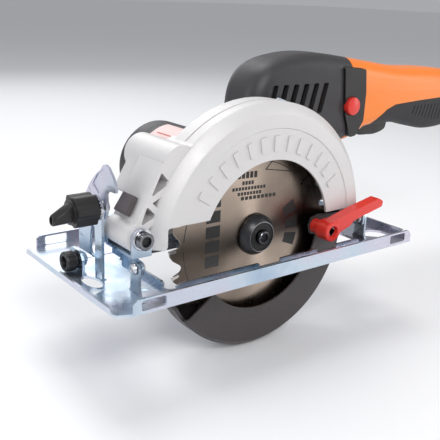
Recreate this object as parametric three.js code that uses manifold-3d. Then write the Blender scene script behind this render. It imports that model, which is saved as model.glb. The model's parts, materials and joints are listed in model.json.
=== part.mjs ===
// Compact corded circular saw, 120 mm blade, as separate pieces.
// Working frame while modelling: origin on the arbor axis at the blade's middle plane,
// +X to the rear of the saw, +Y toward the motor, +Z up, millimetres. The root group moves it so
// the origin is on the underside of the sole, on the broad land beside the blade opening.
import * as THREE from 'three';
import * as BGU from 'three/addons/utils/BufferGeometryUtils.js';
import Module from 'manifold-3d';

const wasm = await Module();
wasm.setup();

// ---------- driving dimensions (mm) ----------
const BLADE_R = 60, BLADE_T = 1.2, BORE_R = 7.5, TEETH = 24;
const SOLE_Z = -14.0;               // underside of the sole: 46 mm cutting depth
const SHEET = 1.5;                  // sole sheet
const SOLE_X0 = -110, SOLE_X1 = 108, SOLE_Y0 = -33.2, SOLE_Y1 = 77;
const FLANGE_H = 8;
const OPEN_X0 = -72, OPEN_X1 = 74, OPEN_Y0 = -18.4, OPEN_Y1 = 34.5;
const TILT_Y = -12, TILT_Z = 0.5;   // bevel axis, along X
const PIV_X = -83.2, PIV_Z = 14.5;  // depth pivot, along Y
const ARC_R = 122;                  // depth arc about the pivot
const ARC_A0 = -2.1, ARC_SWING = 30;
const QUAD_R = 53, QUAD_SLOT_R = 37;
const STUD_Y = TILT_Y + QUAD_SLOT_R * Math.SQRT1_2, STUD_Z = TILT_Z + QUAD_SLOT_R * Math.SQRT1_2;  // clamp stud, 45 degrees up the slot at rest
const MOT_X = 1, MOT_Z = 20, MOT_R = 29.4;
const LAY_X = -14.58, LAY_Z = 10.573;
const GUARD_R = 78.4, GUARD_Y0 = -13.5, GUARD_Y1 = 9.5;
const LG_R = 67;
const HANDLE_Y = 38;
const NOSE_R = 22.1;               // housing nose the lower guard turns on

// ---------- helpers ----------
const D2R = Math.PI / 180;
function M(g) {
  let s = new THREE.BufferGeometry();
  s.setAttribute('position', (g.index ? g.toNonIndexed() : g).getAttribute('position').clone());
  s = BGU.mergeVertices(s, 1e-4);
  const v = Float32Array.from(s.getAttribute('position').array);
  const t = Uint32Array.from(s.index.array);
  return new wasm.Manifold(new wasm.Mesh({ numProp: 3, vertProperties: v, triVerts: t }));
}
const U = (a, ...r) => r.reduce((p, q) => p.add(q), a);
const D = (a, ...r) => r.reduce((p, q) => p.subtract(q), a);
const I = (a, ...r) => r.reduce((p, q) => p.intersect(q), a);
function box(x0, x1, y0, y1, z0, z1) {
  const g = new THREE.BoxGeometry(x1 - x0, y1 - y0, z1 - z0);
  g.translate((x0 + x1) / 2, (y0 + y1) / 2, (z0 + z1) / 2);
  return M(g);
}
function cyl(axis, a, b, r, p, q, seg = 32, r2 = null) {
  // axis Y: a=x b=z ; axis X: a=y b=z ; axis Z: a=x b=y ; runs from p to q; r at p, r2 at q
  const g = new THREE.CylinderGeometry(r2 === null ? r : r2, r, q - p, seg);
  if (axis === 'X') { g.rotateZ(-Math.PI / 2); g.translate((p + q) / 2, a, b); }
  if (axis === 'Z') { g.rotateX(Math.PI / 2); g.translate(a, b, (p + q) / 2); }
  if (axis === 'Y') { g.translate(a, (p + q) / 2, b); }
  return M(g);
}
const cY = (x, z, r, y0, y1, s, r2) => cyl('Y', x, z, r, y0, y1, s, r2);
const cX = (y, z, r, x0, x1, s, r2) => cyl('X', y, z, r, x0, x1, s, r2);
const cZ = (x, y, r, z0, z1, s, r2) => cyl('Z', x, y, r, z0, z1, s, r2);
function shape(pts) { const s = new THREE.Shape(); pts.forEach((p, i) => (i ? s.lineTo(p[0], p[1]) : s.moveTo(p[0], p[1]))); return s; }
function xz(pts, y0, y1, bev = 0, seg = 2) {           // profile in XZ, from y0 to y1
  const g = new THREE.ExtrudeGeometry(shape(pts), bev
    ? { depth: y1 - y0 - 2 * bev, bevelEnabled: true, bevelThickness: bev, bevelSize: bev, bevelOffset: -bev, bevelSegments: seg, steps: 1, curveSegments: 12 }
    : { depth: y1 - y0, bevelEnabled: false, steps: 1, curveSegments: 12 });
  g.rotateX(Math.PI / 2);
  g.translate(0, bev ? y1 - bev : y1, 0);
  return M(g);
}
function yz(pts, x0, x1) {                              // profile in YZ, from x0 to x1
  const g = new THREE.ExtrudeGeometry(shape(pts), { depth: x1 - x0, bevelEnabled: false, steps: 1 });
  g.rotateX(Math.PI / 2); g.rotateZ(Math.PI / 2); g.translate(x0, 0, 0);
  return M(g);
}
function xy(pts, z0, z1) {                              // profile in XY, from z0 to z1
  const g = new THREE.ExtrudeGeometry(shape(pts), { depth: z1 - z0, bevelEnabled: false, steps: 1 });
  g.translate(0, 0, z0);
  return M(g);
}
function arcPts(cx, cz, r, a0, a1, n) {
  const o = [];
  for (let i = 0; i <= n; i++) { const a = (a0 + (a1 - a0) * i / n) * D2R; o.push([cx + r * Math.cos(a), cz + r * Math.sin(a)]); }
  return o;
}
function slotPts(cx, cz, r, w, a0, a1, n) {             // curved slot outline with round ends
  const e0 = [cx + r * Math.cos(a0 * D2R), cz + r * Math.sin(a0 * D2R)], e1 = [cx + r * Math.cos(a1 * D2R), cz + r * Math.sin(a1 * D2R)];
  return [...arcPts(cx, cz, r + w, a0, a1, n), ...arcPts(e1[0], e1[1], w, a1, a1 + 180, 8).slice(1, -1),
    ...arcPts(cx, cz, r - w, a1, a0, n), ...arcPts(e0[0], e0[1], w, a0 + 180, a0 + 360, 8).slice(1, -1)];
}
function lathe(pts, x, z, seg = 48) {                    // pts: [radius, y]; closed on the axis or as a ring
  const g = new THREE.LatheGeometry(pts.map(p => new THREE.Vector2(p[0], p[1])), seg);
  g.translate(x, 0, z);
  let m = M(g);
  if (m.volume && m.volume() < 0) {
    const gi = g.clone(); const idx = gi.index.array; for (let i = 0; i < idx.length; i += 3) { const t = idx[i]; idx[i] = idx[i + 2]; idx[i + 2] = t; }
    m = M(gi);
  }
  return m;
}
function hexY(x, z, af, y0, y1, rot = 0) { return xz([...Array(6).keys()].map(i => [x + af / Math.sqrt(3) * Math.cos((60 * i + rot) * D2R), z + af / Math.sqrt(3) * Math.sin((60 * i + rot) * D2R)]), y0, y1); }
function hexX(y, z, af, x0, x1) { return yz([...Array(6).keys()].map(i => [y + af / Math.sqrt(3) * Math.cos(60 * i * D2R), z + af / Math.sqrt(3) * Math.sin(60 * i * D2R)]), x0, x1); }
function gear(x, z, teeth, mod, y0, y1, phase, bore) {
  const pts = [], ro = mod * (teeth / 2 + 0.85), rr = mod * (teeth / 2 - 1.15);
  for (let i = 0; i < teeth; i++) {
    const c = 360 / teeth;
    for (const [f, r] of [[-0.27, rr], [-0.11, ro], [0.11, ro], [0.27, rr]]) {
      const a = (phase + (i + f) * c) * D2R; pts.push([x + r * Math.cos(a), z + r * Math.sin(a)]);
    }
  }
  return D(xz(pts, y0, y1), cY(x, z, bore, y0 - 1, y1 + 1, 20));
}
const MAT = {
  cast: [0xdedbd9, 0.55, 0.35], zinc: [0xc3cad6, 0.3, 0.9], blade: [0xa58f78, 0.32, 0.9], blacksteel: [0x232325, 0.45, 0.6],
  steel: [0xb8bcc2, 0.35, 0.9], dark: [0x3b393b, 0.6, 0], guardgrey: [0x4d4849, 0.5, 0.1], orange: [0xf47b20, 0.4, 0], grip: [0x2c2b2d, 0.85, 0],
  red: [0xe23b35, 0.35, 0], black: [0x1b1b1d, 0.5, 0], copper: [0xb06a3b, 0.4, 0.8], brass: [0xc0a050, 0.35, 0.9], label: [0xdfe0e2, 0.5, 0],
  laminate: [0x77797d, 0.5, 0.7], rubber: [0x222224, 0.9, 0], chrome: [0xd5d8dc, 0.15, 1], nylon: [0xe8e4da, 0.5, 0],
};
const root = new THREE.Group();
root.name = 'circular_saw';
root.position.set(0, -55, 14);
function add(name, m, mat) {
  const r = m.getMesh();
  const g = new THREE.BufferGeometry();
  const np = r.numProp, n = r.vertProperties.length / np, p = new Float32Array(n * 3);
  for (let i = 0; i < n; i++) for (let k = 0; k < 3; k++) p[3 * i + k] = r.vertProperties[i * np + k];
  g.setAttribute('position', new THREE.BufferAttribute(p, 3));
  g.setIndex(new THREE.BufferAttribute(Uint32Array.from(r.triVerts), 1));
  g.computeVertexNormals();
  const [c, ro, me] = MAT[mat];
  const mesh = new THREE.Mesh(g, new THREE.MeshStandardMaterial({ color: c, roughness: ro, metalness: me }));
  mesh.name = name;
  root.add(mesh);
}

// ================= sole (pressed steel) =================
{
  const zt = SOLE_Z + SHEET;
  let s = box(SOLE_X0, SOLE_X1, SOLE_Y0, SOLE_Y1, SOLE_Z, zt);
  // near flange, far flange, front lip, rear lip
  s = U(s, box(-102, SOLE_X1 - 4, SOLE_Y0, SOLE_Y0 + SHEET, SOLE_Z, SOLE_Z + FLANGE_H));
  s = U(s, box(-102, SOLE_X1 - 4, SOLE_Y1 - SHEET, SOLE_Y1, SOLE_Z, SOLE_Z + FLANGE_H));
  s = U(s, box(SOLE_X0, SOLE_X0 + SHEET, SOLE_Y0 + 6, SOLE_Y1 - 4, SOLE_Z, SOLE_Z + 3.2));
  s = U(s, box(SOLE_X1 - SHEET, SOLE_X1, SOLE_Y0 + 6, SOLE_Y1 - 4, SOLE_Z, SOLE_Z + 5));
  // blade opening with a turned-up lip on the near side
  s = U(s, box(OPEN_X0 + 4, OPEN_X1 - 4, OPEN_Y0 - SHEET, OPEN_Y0, SOLE_Z, SOLE_Z + 4.2));
  s = D(s, xy([[OPEN_X0, OPEN_Y0 + 4], [OPEN_X0 + 1.2, OPEN_Y0 + 1.2], [OPEN_X0 + 4, OPEN_Y0], [OPEN_X1 - 4, OPEN_Y0], [OPEN_X1 - 1.2, OPEN_Y0 + 1.2], [OPEN_X1, OPEN_Y0 + 4],
    [OPEN_X1, OPEN_Y1 - 4], [OPEN_X1 - 4, OPEN_Y1], [OPEN_X0 + 4, OPEN_Y1], [OPEN_X0, OPEN_Y1 - 4]], SOLE_Z - 1, zt + 0.01));
  s = U(s, box(OPEN_X0 - SHEET, OPEN_X0, OPEN_Y0 + 4, 8, SOLE_Z, SOLE_Z + 5));                 // front edge of the opening, turned up
  // stepped lip: lower between X -12 and 4, and where the guard lever comes down as the saw bevels
  s = D(s, box(-12, 4, OPEN_Y0 - SHEET - 1, OPEN_Y0 + 1, zt + 0.4, SOLE_Z + 6), box(33.5, 49.5, OPEN_Y0 - SHEET - 1, OPEN_Y0 + 1, zt + 0.4, SOLE_Z + 6));
  // fence slots through both flanges
  for (const y of [SOLE_Y0 - 1, SOLE_Y1 - SHEET - 1]) {
    s = D(s, box(-97, -83, y, y + SHEET + 2, SOLE_Z + 1.7, SOLE_Z + 7.0));
    s = D(s, box(84, 98, y, y + SHEET + 2, SOLE_Z + 1.7, SOLE_Z + 7.0));
  }
  s = D(s, box(-24, 26, SOLE_Y1 - SHEET - 1, SOLE_Y1 + 1, zt, SOLE_Z + 9));                       // far flange cut away under the motor
  // corners of the sheet cut
  for (const [x, y, sx, sy] of [[SOLE_X0, SOLE_Y0, 1, 1], [SOLE_X0, SOLE_Y1, 1, -1], [SOLE_X1, SOLE_Y0, -1, 1], [SOLE_X1, SOLE_Y1, -1, -1]])
    s = D(s, xy((sx * sy > 0 ? [[x - sx, y - sy], [x + 6 * sx, y - sy], [x + 6 * sx, y], [x, y + 6 * sy], [x - sx, y + 6 * sy]] : [[x - sx, y + 6 * sy], [x, y + 6 * sy], [x + 6 * sx, y], [x + 6 * sx, y - sy], [x - sx, y - sy]]), SOLE_Z - 1, SOLE_Z + 20));
  // holes in the front and rear of the plate
  s = D(s, xy(arcPts(-96, 12, 1, 0, 360, 20).slice(0, -1).map(p => [-99.6 + (p[0] + 96) * 4.4, 12 + (p[1] - 12) * 9]), SOLE_Z - 1, zt + 1));
  s = D(s, xy([[84, -14], [92, -22], [101, -22], [101, -12], [96, -6], [84, -6]], SOLE_Z - 1, zt + 1));
  s = D(s, xy(arcPts(90, 55, 7, 0, 360, 18).slice(0, -1), SOLE_Z - 1, zt + 1));
  // pointer marks pressed through beside the blade lines
  s = D(s, xy([[-106, -3.2], [-98, 0], [-106, 3.2]], SOLE_Z - 1, zt + 1));
  // front tilt tab, rear tilt tab, bevel upright, fence clamp bracket (all turned up from the sheet)
  const tab = (x0, x1) => U(box(x0, x1, TILT_Y - 4, TILT_Y + 4, SOLE_Z, TILT_Z), cX(TILT_Y, TILT_Z, 4, x0, x1, 24));
  s = U(s, tab(-88.4, -86.9), tab(78.4, 79.9));
  s = D(s, cX(TILT_Y, TILT_Z, 1.8, -90, -85, 16), cX(TILT_Y, TILT_Z, 1.8, 77, 81, 16));
  s = U(s, box(-94.6, -93.1, 10.5, 18.0, SOLE_Z, STUD_Z), cX(STUD_Y, STUD_Z, 3.75, -94.6, -93.1, 20));
  s = U(s, box(-94.6, -90, 10.5, 18.0, SOLE_Z, zt + 0.01));
  s = D(s, cX(STUD_Y, STUD_Z, 2.4, -97, -92, 16));
  s = U(s, box(-99.5, -98.0, 23, 39, SOLE_Z, 0));                                                // clamp bracket wall
  s = D(s, cX(31, -6.5, 2.4, -101, -97, 16));
  s = U(s, box(70, 76, 36, 37.5, SOLE_Z, SOLE_Z + 6));                                           // small stiffening tab
  add('base_plate', s, 'zinc');
}
// fence clamp screw: knurled head and stud, along X through the bracket
add('fence_clamp_screw', (() => {
  const s = U(cX(31, -6.5, 5.6, -106.6, -100.6, 20), cX(31, -6.5, 4.6, -100.7, -99.8, 20), cX(31, -6.5, 2.1, -100.5, -93.2, 16));
  return D(s, hexX(31, -6.5, 5, -107, -103));
})(), 'black');
add('fence_clamp_nut', D(hexX(31, -6.5, 7, -97.6, -94.1), cX(31, -6.5, 2.4, -98, -93, 16)), 'zinc');
function rivet(name, x0, x1) {
  add(name, U(cX(TILT_Y, TILT_Z, 1.5, x0, x1, 16), cX(TILT_Y, TILT_Z, 2.2, x0 - 1.4, x0, 16, 3.1), cX(TILT_Y, TILT_Z, 3.1, x1, x1 + 1.3, 16, 2.3)), 'steel');
}
rivet('front_tilt_rivet', -88.7, -84.7);
rivet('rear_tilt_rivet', 76.2, 80.2);

// ================= front pivot bracket and bevel quadrant =================
add('pivot_bracket', (() => {
  const ear = (y0, y1) => xz([[PIV_X - 5.6, 5.0], [PIV_X + 5.6, 5.0], ...arcPts(PIV_X, PIV_Z, 5.6, 0, 180, 12)], y0, y1);
  let s = U(ear(-10.8, -8.8), ear(14.8, 16.8), box(PIV_X - 5.6, PIV_X + 5.6, -10.8, 16.8, 5.0, 6.5));
  s = U(s, box(-86.6, -85.1, -16.2, 14, TILT_Z, 5.5), box(-86.6, -85.1, -16.0, 4, -3.6, TILT_Z + 0.01));
  s = D(s, box(-87, -84, -17, -10.8, 4.5, 6), cX(TILT_Y, TILT_Z, 1.8, -88, -84, 16), cY(PIV_X, PIV_Z, 3.2, -12, 20, 20));
  return s;
})(), 'zinc');
add('bevel_quadrant', (() => {
  const a = arcPts(TILT_Y, TILT_Z, QUAD_R, 2, 58, 14);
  let s = yz([[14.9, -4], [40.6, -4], ...a, [12.6, 48.9], [10.4, 49.6], [7.2, 48.6], [2.8, 44.4], [-0.6, 39.2], [0.4, 37.0], [7.6, 36.6], [9.6, 34.6], [9.6, 24], [11.4, 20.8], [14.9, 20.2]], -92.2, -90.7);
  s = D(s, yz(slotPts(TILT_Y, TILT_Z, QUAD_SLOT_R, 3.1, -1, 46, 14), -93, -88));
  // foot bent back beside the far ear
  s = U(s, box(-92.2, -88.6, 17.1, 18.6, 6, 12), box(-88.7, PIV_X + 5.6, 17.1, 18.6, 6, 20.1), box(-92.2, -90.7, 15, 18.6, 6, 12));
  s = D(s, cY(PIV_X, PIV_Z, 3.2, 16, 20, 20));
  s = D(s, yz(slotPts(TILT_Y, TILT_Z, QUAD_SLOT_R, 3.1, -1, 46, 14), -93, -88));
  return s;
})(), 'zinc');
add('pivot_bolt', (() => {
  let s = U(cY(PIV_X, PIV_Z, 4.6, -15.2, -12.2, 24), cY(PIV_X, PIV_Z, 2.8, -12.5, 22.4, 20));
  return D(s, hexY(PIV_X, PIV_Z, 4.6, -16, -13.2));
})(), 'chrome');
add('pivot_washer', D(cY(PIV_X, PIV_Z, 5.6, -11.9, -11.0, 24), cY(PIV_X, PIV_Z, 3.1, -13, -10, 20)), 'chrome');
add('pivot_nut', D(hexY(PIV_X, PIV_Z, 10, 18.9, 22.6), cY(PIV_X, PIV_Z, 3.1, 18, 24, 20)), 'zinc');
// bevel clamp: stud, washer, knob, nut
add('bevel_stud', U(cX(STUD_Y, STUD_Z, 2.1, -100, -89.4, 16), cX(STUD_Y, STUD_Z, 3.2, -90.4, -89.2, 20)), 'steel');
add('bevel_washer', D(cX(STUD_Y, STUD_Z, 6.8, -96.4, -94.9, 24), cX(STUD_Y, STUD_Z, 2.4, -97, -94, 16)), 'chrome');
add('bevel_knob', (() => {
  const lobes = []; for (let i = 0; i < 36; i++) { const a = i * 10 * D2R, r = 8.0 + 0.8 * Math.cos(6 * a); lobes.push([STUD_Y + r * Math.cos(a), STUD_Z + r * Math.sin(a)]); }
  let s = U(yz(lobes, -109.4, -97.2), cX(STUD_Y, STUD_Z, 6.2, -97.3, -96.7, 24));
  s = U(s, cX(STUD_Y, STUD_Z, 6.4, -110.4, -109.2, 24));
  // tapered wing, running forward
  s = U(s, (() => { const g = new THREE.CylinderGeometry(5.5, 3.0, 11, 20); g.rotateZ(-Math.PI / 2); g.translate(-115, 0, 0);
    const p = g.attributes.position;
    for (let i = 0; i < p.count; i++) p.setZ(i, p.getZ(i) - 0.3 * (-109.5 - p.getX(i)));       // the wing leans down towards its end
    g.translate(0, STUD_Y, STUD_Z); return M(g); })());
  s = D(s, box(-134, -113.5, STUD_Y - 1.5, STUD_Y + 1.5, STUD_Z - 4.6, STUD_Z - 0.6));
  s = D(s, cX(STUD_Y, STUD_Z, 2.4, -101, -96, 16));
  return s;
})(), 'black');

// ================= depth arc (rides with the tilt frame) =================
add('depth_arc', (() => {
  const a0 = ARC_A0, a1 = ARC_A0 + ARC_SWING;
  let s = xz([...arcPts(PIV_X, PIV_Z, ARC_R + 5, a0 - 7, a1 + 2.2, 18), ...arcPts(PIV_X, PIV_Z, ARC_R - 5, a1 + 2.2, a0 - 7, 18)], 11.2, 12.9);
  s = U(I(s, cY(0, 0, 79.8, 10, 14, 72)), I(s, box(0, 80, 10, 14, -20, 40)));                    // top end kept within the guard rim
  s = U(s, box(32, 77.7, 11.2, 12.9, -4.2, 4.8));
  s = U(s, box(76.2 + 0.3, 78.0, -16, 12.9, -4.2, 4.8));
  s = D(s, xz(slotPts(PIV_X, PIV_Z, ARC_R, 2.7, a0, a1, 18), 10, 14));
  s = D(s, cX(TILT_Y, TILT_Z, 1.8, 75, 79, 16), box(70, 79, -17, -7, 4.5 + 0.2, 6));
  return s;
})(), 'zinc');

// ================= upper guard with its arm, one casting =================
const keepFront = [[-100, 18.6], [-79.5, 18.6], [-79.5, 7.2], [-69.6, 7.2], [-69.6, 18.6], [-41.9, 18.6], [-30.7, 35.6]];
add('upper_guard', (() => {
  const shell = lathe([[46.6, GUARD_Y0], [72.3, GUARD_Y0], [77.6, -8.4], [GUARD_R, -7.6], [GUARD_R, -0.6], [GUARD_R - 1.1, -0.6], [GUARD_R - 1.1, 0.5], [GUARD_R, 0.5],
    [GUARD_R, GUARD_Y1], [22.6, GUARD_Y1], [22.6, GUARD_Y1 - 2.2], [75.4, GUARD_Y1 - 2.2], [75.4, -7.6], [71.2, -11.4], [46.6, -11.4], [46.6, GUARD_Y0]], 0, 0, 48);
  // everything above the lower edge stays; the near wall ends at the slanted cut in front
  const keep = xz([[-100, 18.6], [-79.6, 18.6], [-79.6, 7.2], [-69.6, 7.2], [-69.6, 18.6], [-41.9, 18.6], [-30.7, 35.6], [0, 0], [46, 9.5], [100, 9.5], [100, 100], [-100, 100]], GUARD_Y0 - 1, 6);
  const keepFar = xz([[-100, 7.2], [-26, 7.2], [-24, -12.8], [24, -12.8], [30, 5], [52, 5], [56, 9.5], [100, 9.5], [100, 100], [-100, 100]], 5.99, GUARD_Y1 + 1);
  let s = I(shell, U(keep, keepFar));
  // raised ring with a stepped face, generic relief
  s = U(s, I(lathe([[60.5, -13.4], [71.4, -13.4], [70.6, -14.3], [61.3, -14.3], [60.5, -13.4]], 0, 0, 48), xz([[-100, 24], [0, 0], [100, 14], [100, 100], [-100, 100]], -16, -13)));
  // arm: side truss, front face, barrel at the pivot, boss at the top
  const armOut = [[-87.8, 16], [-86.5, 20], [-69.4, 52], ...arcPts(-58.5, 48.8, 10.8, 165, 60, 8), [-49, 60.0], [-60, 42], [-66, 34], [-70, 26], [-72.5, 14]];
  let arm = xz(armOut, -8, 14.2);
  arm = D(arm, cY(0, 0, 76.2, -20, 30, 64));
  arm = U(arm, cY(PIV_X, PIV_Z, 7.9, -8.4, 14.4, 32));
  arm = U(arm, xz([[PIV_X, PIV_Z - 7.9], [-74.0, 6.8], [-74.6, 22], [PIV_X, PIV_Z + 7.8]], -8, 14.2));
  arm = D(arm, box(-80, -60, -9, 15, 0, 7.2));
  // boss runs on toward the motor and joins the housing flange
  arm = U(arm, cY(-58.5, 48.8, 10.8, -8, 31, 32));
  arm = U(arm, xz([[-69.2, 49], [-78.5, 33], [-76, 30], [-60, 38]], -8, 26));
  // pockets from the near side
  const pocket = (pts, d) => xz(pts, -9, d);
  arm = D(arm, pocket([[-70.4, 46.9], [-65.2, 41.0], [-76.5, 34.7]], 6), pocket([[-75.7, 31.7], [-71.8, 27.8], [-68.9, 35.0]], 6),
    pocket([[-78.7, 30.2], [-73.0, 24.6], [-82.4, 20.8]], 6), pocket([[-74.0, 20.4], [-78.2, 18.8], [-74.8, 14.4]], 6));
  // hollow from the back
  arm = D(arm, xz([[-82, 22], [-70.5, 43.5], [-62.5, 40.5], [-66.8, 34], [-71.4, 24]], 8, 40));
  s = U(s, arm);
  s = D(s, cY(PIV_X, PIV_Z, 3.2, -16, 20, 20));
  s = D(s, cY(-58.5, 48.8, 6.4, 12, 40, 24));
  // bolt hole for the depth clamp, holes for housing screws
  const bx = PIV_X + ARC_R * Math.cos(ARC_A0 * D2R), bz = PIV_Z + ARC_R * Math.sin(ARC_A0 * D2R);
  s = D(s, cY(bx, bz, 2.4, 5, 12, 16));
  return s;
})(), 'cast');

// ================= lower guard, lever =================
add('lower_guard', (() => {
  const shell = lathe([[43.5, -8], [LG_R - 1.5, -8], [LG_R, -6.6], [LG_R, 7.0], [22.2, 7.0], [22.2, 5.8], [LG_R - 1.5, 5.8], [LG_R - 1.5, -6.8], [43.5, -6.8], [43.5, -8]], 0, 0, 48);
  const near = xz([[-60, -46], [-36, -29.5], [-20, -16], [0, 8], [30, 8], [80, 4], [90, -90], [-60, -90]], -9, -4);
  const far = xz([[-63.5, -36.4], [-20, -11], [-24, 0], [0, 24], [24, 10], [80, 4], [90, -90], [-63.5, -90]], -4.01, 9);
  let s = I(shell, U(near, far));
  // hub ring that turns on the housing nose
  s = U(s, D(cY(0, 0, 26, 5.8, 7.0, 32), cY(0, 0, 22.2, 5, 8, 48)));
  // lug that carries the lever
  s = U(s, xz([[38.5, -4.6], [46, -6], [46, 7.4], [38.5, 5.6], [36.6, 0.5]], -8, -6.8));
  s = D(s, cY(41.5, 0.5, 1.6, -9, -6, 16));
  // turned-out lip at the front edge
  s = U(s, xz([[-58.6, -32.5], [-53.6, -40.2], [-52.0, -39.2], [-57.0, -31.5]], -4, 5.9));
  return s;
})(), 'guardgrey');
add('guard_lever', (() => {
  let s = U(cY(41.5, 0.5, 4.4, -14.7, -8.3, 24), cY(41.5, 0.5, 6.2, -24, -14.6, 28));
  s = U(s, xz([[39.5, 6.5], [44, 6.4], [60, 11.0], [82.6, 15.4], [86.4, 13.0], [85.6, 9.2], [66, 5.0], [54, 2.0], [47, -2.6]], -23, -15.4, 1.2, 2));
  s = D(s, cY(41.5, 0.5, 3.6, -25, -20, 20), cY(41.5, 0.5, 1.7, -25, -8, 16));
  return s;
})(), 'red');
add('lever_screw', (() => {
  let s = U(cY(41.5, 0.5, 1.35, -20.4, -6.9, 14), cY(41.5, 0.5, 2.8, -22.4, -20.3, 18));
  return D(s, box(40.9, 42.1, -23, -21.4, -1.6, 2.6), box(39.4, 43.6, -23, -21.4, -0.1, 1.1));
})(), 'steel');
add('guard_return_spring', (() => {
  class Helix extends THREE.Curve { getPoint(t, o = new THREE.Vector3()) { const a = t * Math.PI * 2 * 2.5; return o.set(18.4 * Math.cos(a), 1.9 + t * 2.6, 18.4 * Math.sin(a)); } }
  const g = new THREE.TubeGeometry(new Helix(), 44, 0.42, 5, false);
  // close the ends
  const pos = g.getAttribute('position'), idx = Array.from(g.index.array), arr = Array.from(pos.array), R = 6;
  for (const [st, flip] of [[0, 0], [44 * R, 1]]) {
    let c = [0, 0, 0]; for (let i = 0; i < 5; i++) for (let k = 0; k < 3; k++) c[k] += arr[3 * (st + i) + k] / 5;
    const ci = arr.length / 3; arr.push(...c);
    for (let i = 0; i < 5; i++) { const a = st + i, b = st + i + 1; flip ? idx.push(ci, b, a) : idx.push(ci, a, b); }
  }
  const h = new THREE.BufferGeometry(); h.setAttribute('position', new THREE.BufferAttribute(new Float32Array(arr), 3)); h.setIndex(idx);
  let m = M(h); if (m.volume && m.volume() < 0) { for (let i = 0; i < idx.length; i += 3) { const t = idx[i]; idx[i] = idx[i + 1]; idx[i + 1] = t; } h.setIndex(idx); m = M(h); }
  return m;
})(), 'steel');

const DIR_SL = Math.atan2(LAY_Z, LAY_X) / D2R, DIR_LM = Math.atan2(MOT_Z - LAY_Z, MOT_X - LAY_X) / D2R;
// ================= blade and spindle =================
add('blade', (() => {
  const pts = [];
  for (let i = 0; i < TEETH; i++) {
    const c = 360 / TEETH, b = i * c;       // turns so the front teeth rise
    pts.push([b + 0, BLADE_R], [b + 3.2, BLADE_R - 0.6], [b + 8.6, BLADE_R - 5.0], [b + 11.6, BLADE_R - 7.2], [b + 14.1, BLADE_R - 5.2]);
  }
  const poly = pts.map(([a, r]) => [r * Math.cos(a * D2R), r * Math.sin(a * D2R)]);
  let s = xz(poly, -BLADE_T / 2, BLADE_T / 2);
  s = D(s, cY(0, 0, BORE_R, -2, 2, 40));
  for (let i = 0; i < 4; i++) {             // expansion slots
    const a = 37 + 90 * i, ca = Math.cos(a * D2R), sa = Math.sin(a * D2R), n = [-sa * 0.45, ca * 0.45];
    s = D(s, xz([[44 * ca - n[0], 44 * sa - n[1]], [62 * ca - n[0], 62 * sa - n[1]], [62 * ca + n[0], 62 * sa + n[1]], [44 * ca + n[0], 44 * sa + n[1]]], -2, 2), cY(44 * ca, 44 * sa, 1.5, -2, 2, 12));
  }
  return s;
})(), 'blade');
add('inner_flange', D(U(cY(0, 0, 12.4, 0.9, 3.2, 28), cY(0, 0, 7.2, -0.55, 1, 24), cY(0, 0, 8.6, 3.1, 4.6, 24)), cY(0, 0, 4.3, -2, 6, 18)), 'blacksteel');
add('outer_flange', D(lathe([[0, -7.0], [8.9, -7.0], [9.4, -6.5], [12.4, -2.5], [12.4, -0.9], [0, -0.9]], 0, 0, 32), cY(0, 0, 3.4, -9, 1, 18), cY(0, 0, 8.3, -9, -6.4, 28), cY(0, 0, 4.6, -9, -5.4, 24)), 'blacksteel');
add('blade_bolt', D(U(cY(0, 0, 3.9, -9.8, -5.7, 24), cY(0, 0, 3.0, -5.8, 8, 20)), hexY(0, 0, 4.4, -12, -7.8)), 'blacksteel');
add('spindle', (() => {
  let s = U(cY(0, 0, 4.0, 1.0, 24.5, 24), cY(0, 0, 5.4, 4.9, 8.0, 24));
  return D(s, cY(0, 0, 3.3, 0, 8.6, 20));
})(), 'steel');
add('spindle_gear', gear(0, 0, 22, 1, 11.2, 17.6, DIR_SL, 4.3), 'steel');
const ring = (x, z, ri, ro, y0, y1, s = 20) => D(cY(x, z, ro, y0, y1, s), cY(x, z, ri, y0 - 1, y1 + 1, s));
add('bearing_spindle_front', ring(0, 0, 5.7, 11.0, 4.9, 8.9), 'steel');
add('bearing_spindle_rear', ring(0, 0, 4.3, 9.0, 19.5, 22.9), 'steel');
// layshaft: big gear, small gear and shaft as one piece
add('layshaft', (() => {
  const s = U(cY(LAY_X, LAY_Z, 3, 11.0, 35.5, 20), gear(LAY_X, LAY_Z, 14, 1, 11.4, 17.4, DIR_SL + 180 + 360 / 28, 2.9), cY(LAY_X, LAY_Z, 4.6, 17.3, 26.4, 20), gear(LAY_X, LAY_Z, 40, 0.7, 26.2, 31.0, DIR_LM, 2.9));
  return s;
})(), 'steel');
add('bearing_layshaft', ring(LAY_X, LAY_Z, 3.3, 7.4, 32.2, 35.3, 20), 'steel');

add('guard_retainer', D(cY(0, 0, 24.4, 4.3, 5.15, 32), cY(0, 0, 19.4, 4, 6, 28)), 'steel');
add('bearing_carrier', (() => {
  const pts = [[-10.0, -7.6], [-7.2, -11.6], [7.2, -11.6], [12.0, -7.2], [23.2, 3.6], ...arcPts(MOT_X, MOT_Z, 26.1, -33, 172, 16), [-24.8, 16.6], [-24.0, 5.6], [-16.0, -4.2]];
  let s = xz(pts, 19.3, 22.8);
  return D(s, cY(0, 0, 9.15, 19, 24, 24), cY(LAY_X, LAY_Z, 5.0, 19, 24, 20));
})(), 'cast');

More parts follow.
